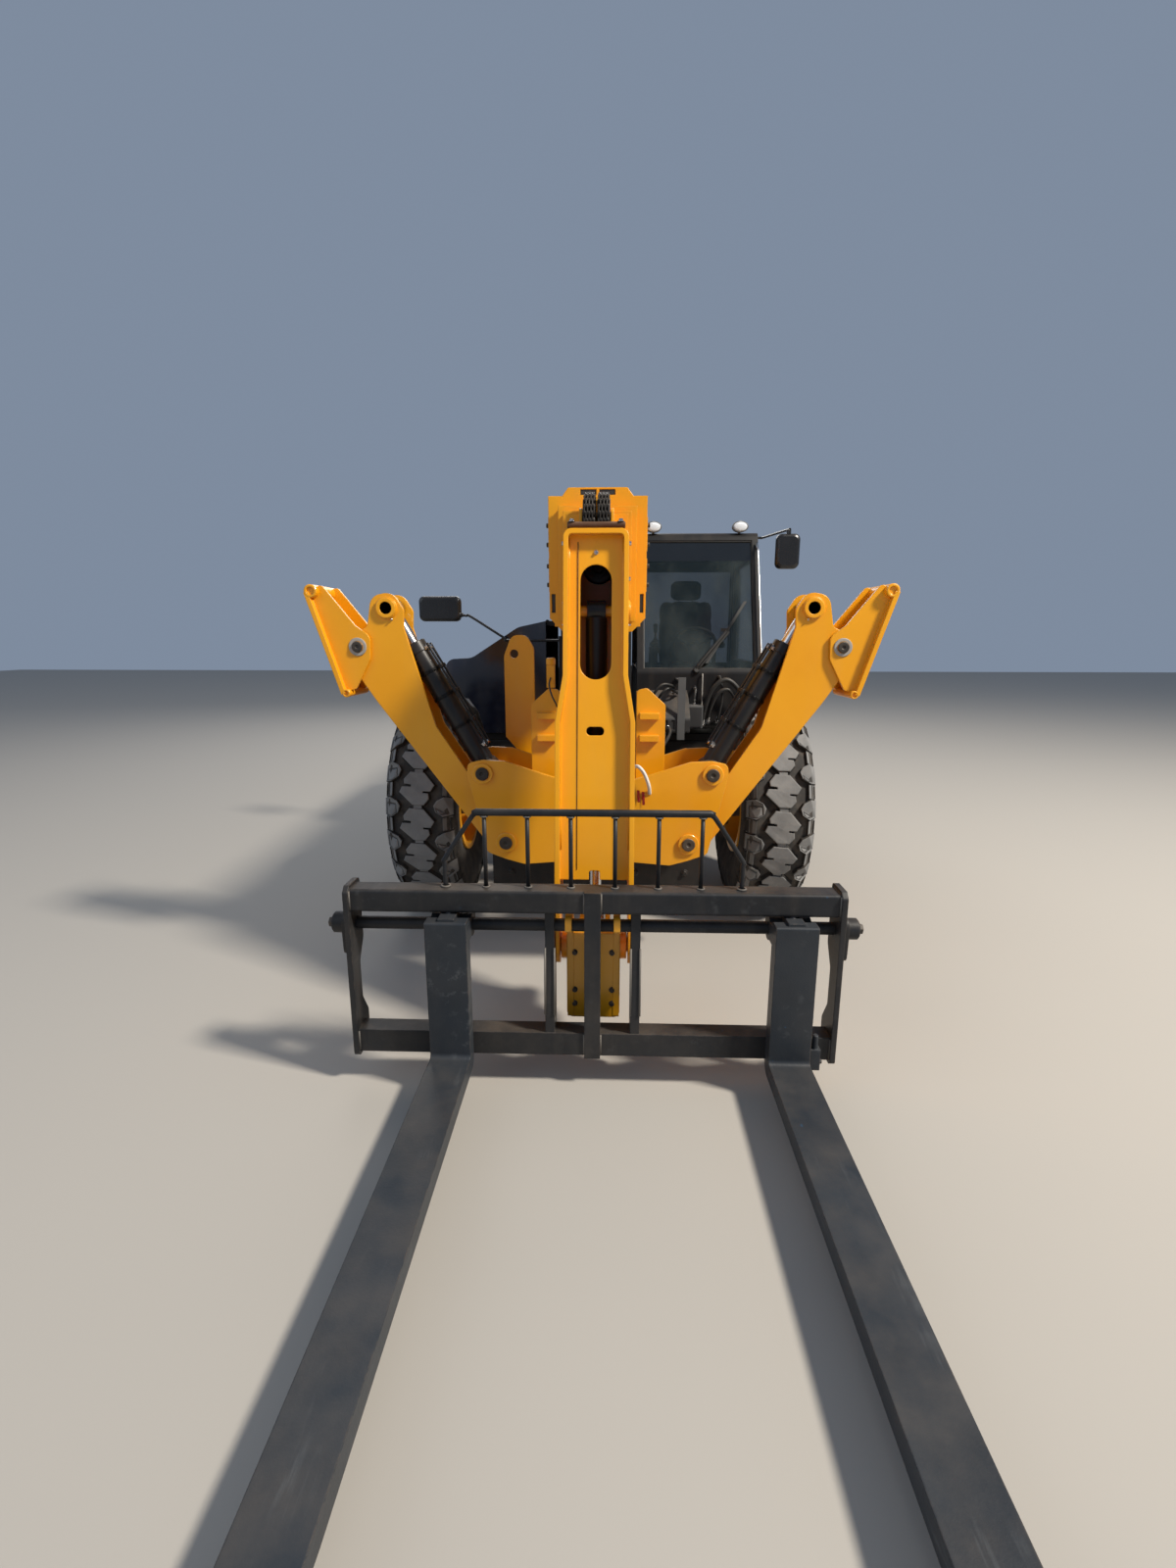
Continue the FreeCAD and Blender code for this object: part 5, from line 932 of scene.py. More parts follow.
# across and height of the neck's edge
NECK_EDGE = ((0.106, 2.075), (0.106, 1.556), (0.136, 1.368), (0.136, 0.760))
SEAM_STEPS = 6


def neck_front(z):
    share = (NECK_TOP[1] - z) / (NECK_TOP[1] - NECK_FOOT[1])
    return NECK_TOP[0] + share * (NECK_FOOT[0] - NECK_TOP[0])


seams, inner_hoses = [], []
for side in (-1, 1):
    line = []
    for (x, z), (next_x, next_z) in zip(NECK_EDGE, NECK_EDGE[1:]):
        for share in (step / SEAM_STEPS for step in range(SEAM_STEPS)):
            z_here = z + (next_z - z) * share
            line.append(spot(side * (x + (next_x - x) * share), neck_front(z_here) - 0.034, z_here))
    seams.append(tube(line, 0.0035, BEAD_SEGMENTS, 1))
solid_from("neck_welds", seams, "boom_inner", "yellow_paint", smooth=True)
web_seam = [spot(-0.071, neck_front(z) - 0.0345, z) for z in (2.060, 1.900, 1.600, 1.300, 1.000, 0.780)]
web_bead = tube(web_seam, 0.0016, BEAD_SEGMENTS, 1)
solid_from("web_seam", [web_bead], "boom_inner", "rusty_bar", smooth=True)
for x, ahead in ((0.096, 1.440), (0.096, 1.465), (-0.096, 1.435), (-0.096, 1.460)):
    inner_hoses.append(tube(spots((x, ahead - 0.04, 2.040), (x, ahead, 1.980), (x, ahead + 0.03, 1.560),
                                  (x * 1.28, ahead + 0.06, 1.360), (x * 1.28, ahead + 0.10,
                                                                    1.000)), 0.0095))
solid_from("neck_hoses", inner_hoses, "boom_inner", "hose_rubber", smooth=True)
print("neck hoses", len(inner_hoses))

# %% [markdown]
# ## Cylinders
# The stabilizers' and the lift cylinder's barrels get steel pipes from their base to their rod end, with a
# nut at both ends, clamps, and a ring round the gland. All of it rides on the barrel, and one function
# dresses them all.

# %% Pipes, nuts and clamps of the cylinders
cylinder_parts = {}


def dress_cylinder(body, base, eye, length, radius, pipe_side, pipe_radius):
    along = (eye - base).normalized()
    out = Vector(pipe_side) - along * Vector(pipe_side).dot(along)
    out.normalize()
    start, end = base + along * (radius * 2.2), base + along * (length - 0.045)
    off = out * (radius + 0.022)
    pipes, nuts, clamps = cylinder_parts.setdefault(body, ([], [], []))
    pipes.append(tube([start + out * (radius - 0.004), start + off * 0.98, start + off + along * 0.03,
                       end + off - along * 0.03, end + off * 0.98, end + out * (radius - 0.004)],
                      pipe_radius, 8, 5))
    for place in (start, end):
        nuts.append(lathe([(-0.004, 0.016), (0.012, 0.016)], place + out * radius, out, 6))
        nuts.append(lathe([(0.012, 0.011), (0.020, 0.011)], place + out * radius, out, 12))
    for share in (0.25, 0.55, 0.80):
        middle = start + (end - start) * share
        clamps.append(lathe([(-0.008, radius + 0.002), (-0.008, radius + 0.004), (0.008, radius + 0.004),
                             (0.008, radius + 0.002)], middle, along, 28))
        clamps.append(lathe([(-0.009, 0.012), (0.009, 0.012)], middle + off, along, 10))
    nuts.append(lathe([(0.0, radius * 0.86), (0.005, radius * 0.82)],
                      base + along * (length - 0.0015), along, 32))


LEG_BARREL_LENGTH = 0.690
for side, side_name in SIDE_NAMES.items():
    base, eye = mirrored(side, (0.545, 1.015, 1.060), (0.980, 1.015, 1.826))
    for forward in (-0.5, 0.5):
        dress_cylinder("leg_barrel_" + side_name, base, eye, LEG_BARREL_LENGTH, 0.052,
                       (-side, forward, 0.55), 0.006)
lift_base, lift_eye = spot(0, -3.120, 0.950), on_boom(0, 2.320, -0.365)
lift_length = (lift_eye - lift_base).length - 0.263
for across in (0.9, -0.9):
    dress_cylinder("lift_barrel", lift_base, lift_eye, lift_length, 0.090, (across, 0, 1), 0.010)
for body, (pipes, nuts, clamps) in cylinder_parts.items():
    solid_from("pipes_" + body, pipes, body, "cylinder_black", smooth=True)
    solid_from("nuts_" + body, nuts, body, "bright_trim")
    solid_from("clamps_" + body, clamps, body, "cylinder_black")
print("cylinders dressed:", ", ".join(cylinder_parts))

# %% [markdown]
# ## The cab's outside
# The windscreen leans back, so `on_screen` gives a point on it. It gets a rubber seal, a wiper whose arm
# and blade lean over to the left, and a bright strip on the outer pillar.

# %% Windscreen and wiper
SCREEN_LEAN = 0.401
SCREEN_OUT = Vector((0, -1.0, SCREEN_LEAN)).normalized()
SCREEN_LOW, SCREEN_HIGH = (0.313, 1.463), (1.149, 2.425)
BLADE_LOW, BLADE_HIGH = (0.782, 1.492), (1.085, 1.952)


def on_screen(x, z, out=0.0):
    return spot(x, -0.905 - SCREEN_LEAN * (z - 1.430), z) + SCREEN_OUT * out


def on_screens(*places):
    return [on_screen(*place) for place in places]


edges = [SCREEN_LOW, (SCREEN_HIGH[0], SCREEN_LOW[1]), SCREEN_HIGH,
         (SCREEN_LOW[0], SCREEN_HIGH[1]), SCREEN_LOW]
screen_seal = [tube(on_screens((*near, -0.012), (*far, -0.012)), 0.007, 8, 1)
               for near, far in zip(edges, edges[1:])]
solid_from("windscreen_seal", screen_seal, "root", "hose_rubber")
wiper = [tube(on_screens((0.700, 1.448, 0.012), (0.740, 1.500, 0.030), (0.935, 1.725, 0.026)),
              0.0095, 8, 4),
         tube(on_screens((0.715, 1.440, 0.012), (0.757, 1.492, 0.032), (0.955, 1.722, 0.026)),
              0.0075, 8, 4),
         lathe([(-0.02, 0.026), (0.020, 0.024), (0.026, 0.018)], on_screen(0.707, 1.444), SCREEN_OUT, 16),
         box_part(on_screen(0.915, 1.738, 0.019) - Vector((0.02, 0.008, 0.012)),
                  on_screen(0.955, 1.738, 0.019) + Vector((0.0, 0.008, 0.014)))]
for width, low, high in ((0.005, -0.008, 0.010), (0.012, 0.010, 0.022)):
    corners = [on_screen(x + step, z, low) for (x, z), step in
               ((BLADE_LOW, -width), (BLADE_LOW, width), (BLADE_HIGH, width), (BLADE_HIGH, -width))]
    wiper.append(slab(corners, SCREEN_OUT, high - low))
solid_from("wiper", wiper, "root", "hose_rubber")
pillar_strip = tube(on_screens((1.188, 1.470, 0.008), (1.190, 1.500, 0.030), (1.190, 2.330, 0.030),
                               (1.188, 2.360, 0.008)), 0.0065, 10, 5)
solid_from("pillar_rail", [pillar_strip], "root", "bright_trim", smooth=True)
print("windscreen's seal, wiper and strip ready")

# %% [markdown]
# ## Roof lamps and ribs
# Each lamp is an oval shell with a ribbed lens. The lathe makes only round shapes, so its points are
# stretched across afterwards. The ribs are flat boxes on the roof's panel.

# %% Roof lamps and ribs
LAMP_WIDTH = 1.5
SHELL_PROFILE = [(-0.070, 0.012), (-0.062, 0.028), (-0.040, 0.040), (0.000, 0.042), (0.004, 0.041),
                 (0.004, 0.037)]
LENS_PROFILE = [(-0.001, 0.0365), (0.006, 0.0345), (0.011, 0.026), (0.014, 0.012), (0.0145, 0.001)]
lamp_shells, lamp_lenses = [], []
for x in (0.389, 1.060):
    for parts, profile in ((lamp_shells, SHELL_PROFILE), (lamp_lenses, LENS_PROFILE)):
        points, faces = lathe(profile, spot(x, -1.312, 2.531), FORWARD, 36)
        # stretched across to an oval
        parts.append(([Vector((x + (point.x - x) * LAMP_WIDTH, point.y, point.z))
                       for point in points], faces))
solid_from("lamp_shells", lamp_shells, "root", "grey_plastic", smooth=True)
solid_from("lamp_lenses", lamp_lenses, "root", "lamp_lens", smooth=True)
roof_ribs = [block((x - 0.03, -1.42, 2.489), (x + 0.03, -2.16, 2.496))
             for x in (0.42, 0.58, 0.73, 0.88, 1.04)]
solid_from("roof_ribs", roof_ribs, "root", "black_paint")
print("roof lamps", len(lamp_lenses), "ribs", len(roof_ribs))

# %% [markdown]
# ## Door, steps and mirrors
# The door gets its handle, lock and a seal round each pane. A grab rail stands behind it, the steps get
# treads of narrow bars, and each mirror gets its glass on the side that faces the driver.

# %% Door trim, steps and mirror glass
handle = [tube(spots((1.203, -1.040, 1.492), (1.226, -1.052, 1.492), (1.226, -1.165, 1.492),
                     (1.203, -1.178, 1.492)),
               0.009, 8, 5),
          lathe([(0.0, 0.016), (0.008, 0.016), (0.010, 0.012)], spot(1.200, -1.200, 1.560), LEFTWARD, 16)]
solid_from("door_handle", handle, "door", "cab_plastic")
pane_seals = []
for rows in (((-1.080, 1.500), (-1.400, 2.305), (-2.045, 2.305), (-2.045, 1.500)),
             ((-1.050, 1.130), (-1.050, 1.440), (-2.045, 1.440), (-2.045, 1.130))):
    for near, far in zip(rows, rows[1:] + rows[:1]):
        pane_seals.append(tube(spots((1.196, *near), (1.196, *far)), 0.006, 6, 1))
solid_from("pane_seals", pane_seals, "door", "hose_rubber")
grab = tube(spots((1.201, -2.185, 1.350), (1.235, -2.185, 1.370), (1.235, -2.185, 2.080),
                  (1.201, -2.185, 2.100)),
            0.011, 10, 5)
solid_from("grab_rail", [grab], "root", "black_paint", smooth=True)
TREAD_OUTER, TREAD_FRONT, TREAD_LENGTH, TREAD_BARS = 1.190, -1.300, 0.490, 9
treads = []
for z, depth in ((0.600, 0.185), (0.905, 0.150)):
    for bar_index in range(TREAD_BARS):
        ahead = TREAD_FRONT - TREAD_LENGTH * (bar_index + 0.5) / TREAD_BARS
        treads.append(block((TREAD_OUTER - depth, ahead + 0.010, z),
                            (TREAD_OUTER, ahead - 0.010, z + 0.009)))
solid_from("step_treads", treads, "root", "carriage_paint")
mirror_glass = [block((1.219, -0.7452, 2.176), (1.365, -0.7482, 2.384)),
                block((-1.361, -0.9332, 1.820), (-1.073, -0.9362, 1.976))]
solid_from("mirror_glass", mirror_glass, "root", "mirror_silver")
print("door, steps and mirror glass ready")

# %% [markdown]
# ## Machinery below the windscreen
# Beside the boom, under the windscreen, the machine shows a grey upright plate, an electrical box, and a
# nest of hoses. They are all fixed to the chassis, so both ends of every hose go into something.

# %% Plate, box and hoses below the windscreen
upright = [block((0.546, -0.612, 0.962), (0.600, -0.618, 1.412)),
           block((0.552, -0.618, 1.380), (0.594, -0.905, 1.392)),
           block((0.552, -0.618, 1.010), (0.594, -0.624, 1.060))]
solid_from("upright_plate", upright, "root", "grey_plastic")
solid_from("electrical_box", [block((0.640, -0.905, 1.030), (0.748, -0.760, 1.195))], "root",
           "grey_plastic")
solid_from("electrical_box_lid", [block((0.648, -0.7595, 1.040), (0.740, -0.7535, 1.185))], "root",
           "cab_plastic")
# radius, then points: across, ahead, height
HOSES = [
    (0.017, (0.760, -0.895, 1.040), (0.765, -0.830, 1.150), (0.820, -0.800, 1.320), (0.920, -0.800, 1.385),
     (1.020, -0.810, 1.300), (1.060, -0.840, 1.150), (1.060, -0.900, 1.040)),
    (0.014, (0.800, -0.895, 1.060), (0.810, -0.840, 1.160), (0.860, -0.815, 1.280), (0.940, -0.820, 1.310),
     (1.000, -0.840, 1.220), (1.010, -0.900, 1.080)),
    (0.010, (0.360, -0.690, 1.230), (0.380, -0.640, 1.300), (0.440, -0.640, 1.360), (0.520, -0.700, 1.340),
     (0.530, -0.800, 1.290)),
    (0.010, (0.400, -0.700, 1.225), (0.430, -0.650, 1.290), (0.480, -0.660, 1.330), (0.545, -0.720, 1.300),
     (0.560, -0.800, 1.285)),
    (0.012, (0.440, -0.640, 1.040), (0.450, -0.560, 1.010), (0.430, -0.450, 0.960), (0.380, -0.250, 0.930),
     (0.300, 0.050, 0.930)),
    (0.012, (0.480, -0.640, 1.060), (0.492, -0.560, 1.030), (0.460, -0.450, 0.985), (0.400, -0.250, 0.960),
     (0.300, 0.020, 0.960)),
    (0.010, (0.700, -0.900, 1.320), (0.700, -0.860, 1.300), (0.690, -0.840, 1.240), (0.690, -0.850, 1.190)),
    (0.009, (0.880, -0.900, 1.400), (0.885, -0.860, 1.380), (0.900, -0.840, 1.260), (0.880, -0.850, 1.120),
     (0.870, -0.900, 1.060)),
    (0.011, (-0.360, -0.660, 0.930), (-0.370, -0.560, 0.960), (-0.380, -0.350, 0.960),
     (-0.340, -0.050, 0.940), (-0.295, 0.150, 0.920)),
    (0.011, (-0.400, -0.700, 0.930), (-0.410, -0.560, 0.985), (-0.420, -0.350, 0.990),
     (-0.360, 0.000, 0.965), (-0.295, 0.200, 0.945)),
]
hoses, fittings = [], []
for radius, *places in HOSES:
    line = spots(*places)
    hoses.append(tube(line, radius, 10, 6))
    for end, inner in ((line[0], line[1]), (line[-1], line[-2])):
        axis = (inner - end).normalized()
        fittings.append(lathe([(-0.004, radius * 1.5), (0.018, radius * 1.5)], end, axis, 6))
        fittings.append(lathe([(0.018, radius * 1.2), (0.050, radius * 1.15)], end, axis, 12))
solid_from("front_hoses", hoses, "root", "hose_rubber", smooth=True)
thin_pipe = tube(spots((0.752, -0.898, 1.410), (0.752, -0.880, 1.395), (0.752, -0.880, 1.080),
                       (0.752, -0.898, 1.060)),
                 0.0055, 8, 4)
solid_from("thin_pipe", [thin_pipe], "root", "washer_steel", smooth=True)
solid_from("hose_fittings", fittings, "root", "bright_trim")
print("front hoses", len(hoses), "fittings", len(fittings))

# %% [markdown]
# ## Carriage, forks and guard
# The guard's bars are welded to the carriage, so a pale bead runs round each foot, and more beads join the
# plates. A latch block on the left fork holds it in place, and the shaft's ends carry nuts with a small
# bolt beside them.

# %% Welds, latch and nuts of the carriage
GUARD_AHEAD = 1.950
GUARD_BARS = (0.081, 0.239, 0.396)
# across and height of the ring beads; radius and thickness
RING_BEADS = [(x, z, 0.0125, thickness) for x in GUARD_BARS
              for z, thickness in ((0.793, 0.0035), (1.061, 0.0030))]
RING_BEADS.append((0.546, 0.794, 0.0155, 0.0040))
# both ends of the straight beads, and their radius
STRAIGHT_BEADS = [
    ((0.143, 1.998, 0.300), (0.143, 1.972, 0.560), 0.004),
    ((0.178, 1.998, 0.300), (0.178, 1.972, 0.560), 0.004),
    ((0.895, 2.001, 0.711), (0.895, 2.001, 0.785), 0.0045),
    ((0.895, 2.001, 0.140), (0.895, 2.001, 0.218), 0.0045),
    ((0.031, 2.000, 0.708), (0.031, 2.000, 0.786), 0.004),
    ((0.031, 2.000, 0.140), (0.031, 2.000, 0.220), 0.004),
]
# place of the nuts and their radius
CARRIAGE_NUTS = [(0.980, 1.930, 0.635, 0.020), (0.937, 1.930, 0.590, 0.008), (0.915, 1.955, 0.740, 0.010),
                 (0.915, 1.955, 0.180, 0.010)]
beads, nuts = [], []
for side in (-1, 1):
    for x, z, radius, thickness in RING_BEADS:
        beads.append(ring_bead(spot(side * x, GUARD_AHEAD, z), UPWARD, radius, thickness))
    beads += [tube(mirrored(side, low, high), radius, BEAD_SEGMENTS, 1)
              for low, high, radius in STRAIGHT_BEADS]
    nuts += [hex_bolt(spot(side * x, ahead, z), (side, 0, 0), radius)
             for x, ahead, z, radius in CARRIAGE_NUTS]
    nuts += [hex_bolt(spot(side * 0.075, 1.840, z), FORWARD, 0.009) for z in (0.260, 0.320, 0.480)]
solid_from("carriage_welds", beads, "carriage", "weld_steel", smooth=True)
latch = [block((0.800, 2.018, 0.122), (0.846, 2.050, 0.205)),
         lathe([(0.0, 0.011), (0.050, 0.011), (0.054, 0.008)], spot(0.828, 2.034, 0.205), UPWARD, 14),
         hex_bolt(spot(0.846, 2.034, 0.150), LEFTWARD, 0.009)]
solid_from("fork_latch", latch, "fork_left", "fork_steel")
solid_from("carriage_nuts", nuts, "carriage", "pin_steel")
for name, middle in (("fork_right", -0.530), ("fork_left", 0.730)):
    trim = [block((middle - 0.030, 1.955, 0.664), (middle + 0.030, 2.045, 0.700)),
            lathe([(0.0, 0.012), (0.020, 0.012), (0.024, 0.008)], spot(middle, 1.985, 0.700), UPWARD, 14)]
    solid_from("top_latch_" + name, trim, name, "fork_steel")
print("beads", len(beads), "nuts", len(nuts))

# %% [markdown]
# ## Operator's seat
# Seen through the windscreen, the seat is a stack of padded pads: a cushion, a back, a head rest and two
# arms. Each pad is a rounded box whose faces swell in the middle and pinch in at the stitched seams. `pad`
# lays a grid of points over a box, pushes them out by how far they are from the seams, and rounds the
# edges.

# %% Padded seat
SEAT_X = 0.731
PAD_STEPS = 14
SEAM_WIDTH = 0.05
SEAM_DEPTH = 0.9
# name: low and high corner as across, ahead, height; crown, corner, seams across, seams along, lean
PADS = {
    "seat_cushion": ((-0.245, -1.975, 1.334), (0.245, -1.490, 1.432), 0.014, 0.030, (-0.56, 0.56),
                     (0.25,), 0.0),
    "seat_back": ((-0.222, -2.055, 1.440), (0.222, -1.985, 1.990), 0.012, 0.028, (-0.56, 0.56),
                  (-0.35, 0.45), 0.06),
    "head_rest": ((-0.124, -2.076, 2.022), (0.124, -2.006, 2.170), 0.010, 0.026, (), (), 0.04),
    "arm_pad_right": ((-0.312, -2.020, 1.606), (-0.258, -1.682, 1.650), 0.006, 0.016, (), (), 0.0),
    "arm_pad_left": ((0.258, -2.020, 1.606), (0.312, -1.682, 1.650), 0.006, 0.016, (), (), 0.0),
}


def on_seat(x, ahead, z):
    return spot(SEAT_X + x, ahead, z)


def pinch(share, seam):
    return SEAM_DEPTH * math.exp(-((share - seam) / SEAM_WIDTH) ** 2)


def pad(low, high, crown, corner, seams_across, seams_along, lean):
    """A padded block whose faces crown, pinched at seams given as shares of its width and length."""
    middle = [(low[axis] + high[axis]) / 2 for axis in range(3)]
    half = [abs(high[axis] - low[axis]) / 2 for axis in range(3)]
    points, faces, known = [], [], {}

    def corner_point(axis, way, u, v):
        flat = [0.0, 0.0, 0.0]
        flat[axis] = way
        flat[(axis + 1) % 3], flat[(axis + 2) % 3] = u, v
        key = tuple(round(value, 5) for value in flat)
        if key in known:
            return known[key]
        # pull the box's edges in to a rounded corner
        inner = Vector([flat[i] * (half[i] - corner) if abs(flat[i]) == 1.0 else
                        max(-half[i] + corner, min(half[i] - corner, flat[i] * half[i])) for i in range(3)])
        away = Vector([flat[i] * half[i] for i in range(3)]) - inner
        place = inner + (away.normalized() * corner if away.length > 1e-6 else away)
        swell = (1 - u ** 4) * (1 - v ** 4)
        shares = {(axis + 1) % 3: u, (axis + 2) % 3: v}
        if 0 in shares:
            swell -= sum(pinch(shares[0], seam) for seam in seams_across)
        for other in (1, 2):
            if other in shares and half[other] > half[3 - other] * 1.0001:
                swell -= sum(pinch(shares[other], seam) for seam in seams_along)
        place[axis] += way * crown * swell
        place += Vector(middle)
        place[1] += lean * (place[2] - middle[2])
        known[key] = len(points)
        points.append(place)
        return known[key]

    marks = [-1 + 2 * step / PAD_STEPS for step in range(PAD_STEPS + 1)]
    for axis in range(3):
        for way in (-1.0, 1.0):
            for i in range(PAD_STEPS):
                for j in range(PAD_STEPS):
                    faces.append(tuple(corner_point(axis, way, marks[a], marks[b])
                                       for a, b in ((i, j), (i + 1, j), (i + 1, j + 1), (i, j + 1))))
    return points, faces


for name, (low, high, *shape) in PADS.items():
    piece = solid_from(name, [pad(on_seat(*low), on_seat(*high), *shape)], "root", "seat_fabric",
                       smooth=True)
    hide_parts("operator_seat")
print("pads", len(PADS))

# %% [markdown]
# ## Seat frame and belt
# The pads rest on a box with a bellows under it, and the head rest and the arms stand on posts. All of this
# is black and mostly hidden, so boxes and tubes are enough.

# %% Seat frame and belt
# half width; back and front as ahead; foot and top
SEAT_BLOCKS = [(0.17, -1.950, -1.575, 1.048, 1.120), (0.14, -1.920, -1.610, 1.120, 1.270),
               (0.20, -1.960, -1.540, 1.270, 1.336), (0.10, -2.084, -2.062, 1.330, 1.900)]
# the folds of the bellows under the seat
SEAT_BLOCKS += [(0.148, -1.928, -1.602, 1.135 + fold * 0.021, 1.146 + fold * 0.021) for fold in range(6)]
posts = [box_part(on_seat(-half, back, foot), on_seat(half, front, top))
         for half, back, front, foot, top in SEAT_BLOCKS]
for side in (-1, 1):
    posts.append(tube([on_seat(side * 0.06, -2.050, 1.960), on_seat(side * 0.06, -2.044, 2.060)],
                      0.007, 8, 1))
    posts.append(box_part(on_seat(side * 0.245, -2.010, 1.400), on_seat(side * 0.275, -1.950, 1.612)))
    posts.append(box_part(on_seat(side * 0.19, -2.010, 1.400), on_seat(side * 0.275, -1.960, 1.440)))
solid_from("seat_frame", posts, "root", "cab_plastic")
belt = [tube([on_seat(0.236, -1.93, 1.40), on_seat(0.200, -1.88, 1.455), on_seat(0.05, -1.83, 1.460),
              on_seat(-0.10, -1.86, 1.458)], 0.012, 6, 4),
        box_part(on_seat(-0.13, -1.885, 1.450), on_seat(-0.07, -1.835, 1.476))]
solid_from("seat_belt", belt, "root", "cab_plastic")
print("blocks and posts of the seat", len(posts))

# %% [markdown]
# ## Joystick
# A joystick stands on a console at the right arm. It is small, so simple turned and boxed shapes read well
# through the glass.

# %% Joystick and its console
stick = [lathe([(0.0, 0.030), (0.008, 0.030), (0.014, 0.024), (0.030, 0.014), (0.036, 0.008),
                (0.075, 0.008), (0.080, 0.016), (0.140, 0.020), (0.152, 0.014), (0.155, 0.004)],
               on_seat(-0.285, -1.720, 1.652), UPWARD, 16),
         box_part(on_seat(-0.325, -1.900, 1.560), on_seat(-0.245, -1.660, 1.606)),
         box_part(on_seat(-0.325, -1.980, 1.120), on_seat(-0.262, -1.700, 1.560))]
solid_from("joystick", stick, "root", "cab_plastic")
print("joystick stands at", tuple(round(value, 3) for value in on_seat(-0.285, -1.720, 1.652)))

# %% [markdown]
# ## Wheels and axles
# Ten nuts hold each rim, eight small bolts hold the hub's cap, and a valve stem stands on the rim. The same
# few lathed shapes are repeated around each hub.

# %% Nuts, caps and valves of the wheels
RIM_FACE = 1.020
# how many, the radius of their circle, and how far they stand out from the rim's face
RIM_NUTS, RIM_NUT_CIRCLE, RIM_NUT_OUT, STUD_OUT = 10, 0.171, 0.062, 0.066
CAP_BOLTS, CAP_BOLT_CIRCLE, CAP_BOLT_OUT = 8, 0.090, 0.128
for place, hub in hubs.items():
    side = 1 if hub[0] > 0 else -1
    outward = LEFTWARD * side
    face = Vector((side * RIM_FACE, hub[1], hub[2]))
    nuts = bolt_circle(face + outward * RIM_NUT_OUT, outward, BACKWARD, UPWARD, RIM_NUTS,
                       RIM_NUT_CIRCLE, 0.016, 0.5)
    for ray in rays(BACKWARD, UPWARD, RIM_NUTS, 0.5):
        stud_at = face + ray * RIM_NUT_CIRCLE + outward * STUD_OUT
        nuts.append(lathe([(0.0, 0.008), (0.030, 0.008), (0.033, 0.006)], stud_at, outward, 8))
    nuts += bolt_circle(face + outward * CAP_BOLT_OUT, outward, BACKWARD, UPWARD, CAP_BOLTS,
                        CAP_BOLT_CIRCLE, 0.0075)
    solid_from("wheel_nuts_" + place, nuts, "wheel_" + place, "pin_steel")
    stem = tube([face + Vector((side * out, 0.030, z)) for out, z in ((-0.010, 0.236), (0.030, 0.228),
                                                                      (0.058, 0.214))],
                0.0045, 8, 3)
    cap = lathe([(0.0, 0.0065), (0.016, 0.0065), (0.018, 0.004)],
                face + Vector((side * 0.056, 0.030, 0.215)), (side * 0.8, 0, -0.5), 10)
    solid_from("valve_" + place, [stem, cap], "wheel_" + place, "washer_steel")
print("wheels dressed", len(hubs))

# %% [markdown]
# ## Bolts of the axles
# A ring of bolts closes the housing in the middle of each axle, on the side that shows. `bolt_circle` lays
# it in the plane across the machine.

# %% Bolts of the axles
AXLE_BOLTS, AXLE_BOLT_CIRCLE, AXLE_BOLT_OUT, AXLE_Z = 12, 0.150, 0.168, 0.640
for end, ahead, outward in (("front", 0.0, FORWARD), ("rear", -3.1, BACKWARD)):
    middle = spot(0, ahead, AXLE_Z) + outward * AXLE_BOLT_OUT
    bolts = bolt_circle(middle, outward, LEFTWARD, UPWARD, AXLE_BOLTS, AXLE_BOLT_CIRCLE, 0.009)
    solid_from("axle_bolts_" + end, bolts, "root", "pin_steel")
print("axle bolts on each axle", AXLE_BOLTS)

# %% [markdown]
# ## Engine hood
# The hood is a glossy cover. Its side has two rows of louvres, a handle and two rubber latches. Louvres are
# short folded strips that stand a few millimetres off the panel, so one loop lays them all.

# %% Louvres, handle and latches
HOOD_SIDE_X = -1.200
LOUVRES, LOUVRE_SPACING, LOUVRE_LENGTH = 7, 0.024, 0.34
SLATS, SLAT_SPACING = 12, 0.030
louvres = []
for row_low in (1.060, 1.270):
    for column in (-1.20, -1.62):
        for z in (row_low + LOUVRE_SPACING * step for step in range(LOUVRES)):
            louvres.append(slab(spots((HOOD_SIDE_X, column, z), (HOOD_SIDE_X - 0.012, column, z + 0.002),
                                      (HOOD_SIDE_X - 0.001, column, z + 0.017)), BACKWARD, LOUVRE_LENGTH))
solid_from("hood_louvres", louvres, "hood", "hood_paint")
grip = [tube([spot(HOOD_SIDE_X + out, ahead, 1.240)
              for out, ahead in ((0.004, -2.060), (-0.030, -2.065), (-0.030, -2.185), (0.004, -2.190))],
             0.008, 10, 4)]
for column in (-1.080, -2.130):
    grip.append(block((HOOD_SIDE_X - 0.009, column, 1.000), (HOOD_SIDE_X + 0.001, column - 0.030, 1.110)))
    grip.append(block((HOOD_SIDE_X - 0.020, column + 0.005, 1.045),
                      (HOOD_SIDE_X - 0.006, column - 0.035, 1.065)))
solid_from("hood_latches", grip, "hood", "hose_rubber")
rear_slats = [block((-1.120, -2.2560, 1.080 + SLAT_SPACING * step),
                    (-0.560, -2.2495, 1.094 + SLAT_SPACING * step))
              for step in range(SLATS)]
solid_from("hood_rear_slats", rear_slats, "hood", "hood_paint")
trim = tube(spots((-1.2005, -0.952, 0.985), (-1.2005, -2.248, 0.985)), 0.004, 6, 1)
solid_from("hood_edge_trim", [trim], "hood", "hose_rubber", smooth=True)
print("louvres", len(louvres), "slats", len(rear_slats))

# %% [markdown]
# ## Tanks
# Each tank is held by straps with a bolt in each one, and the one on the right has a filler cap, a drain
# and a sight glass.

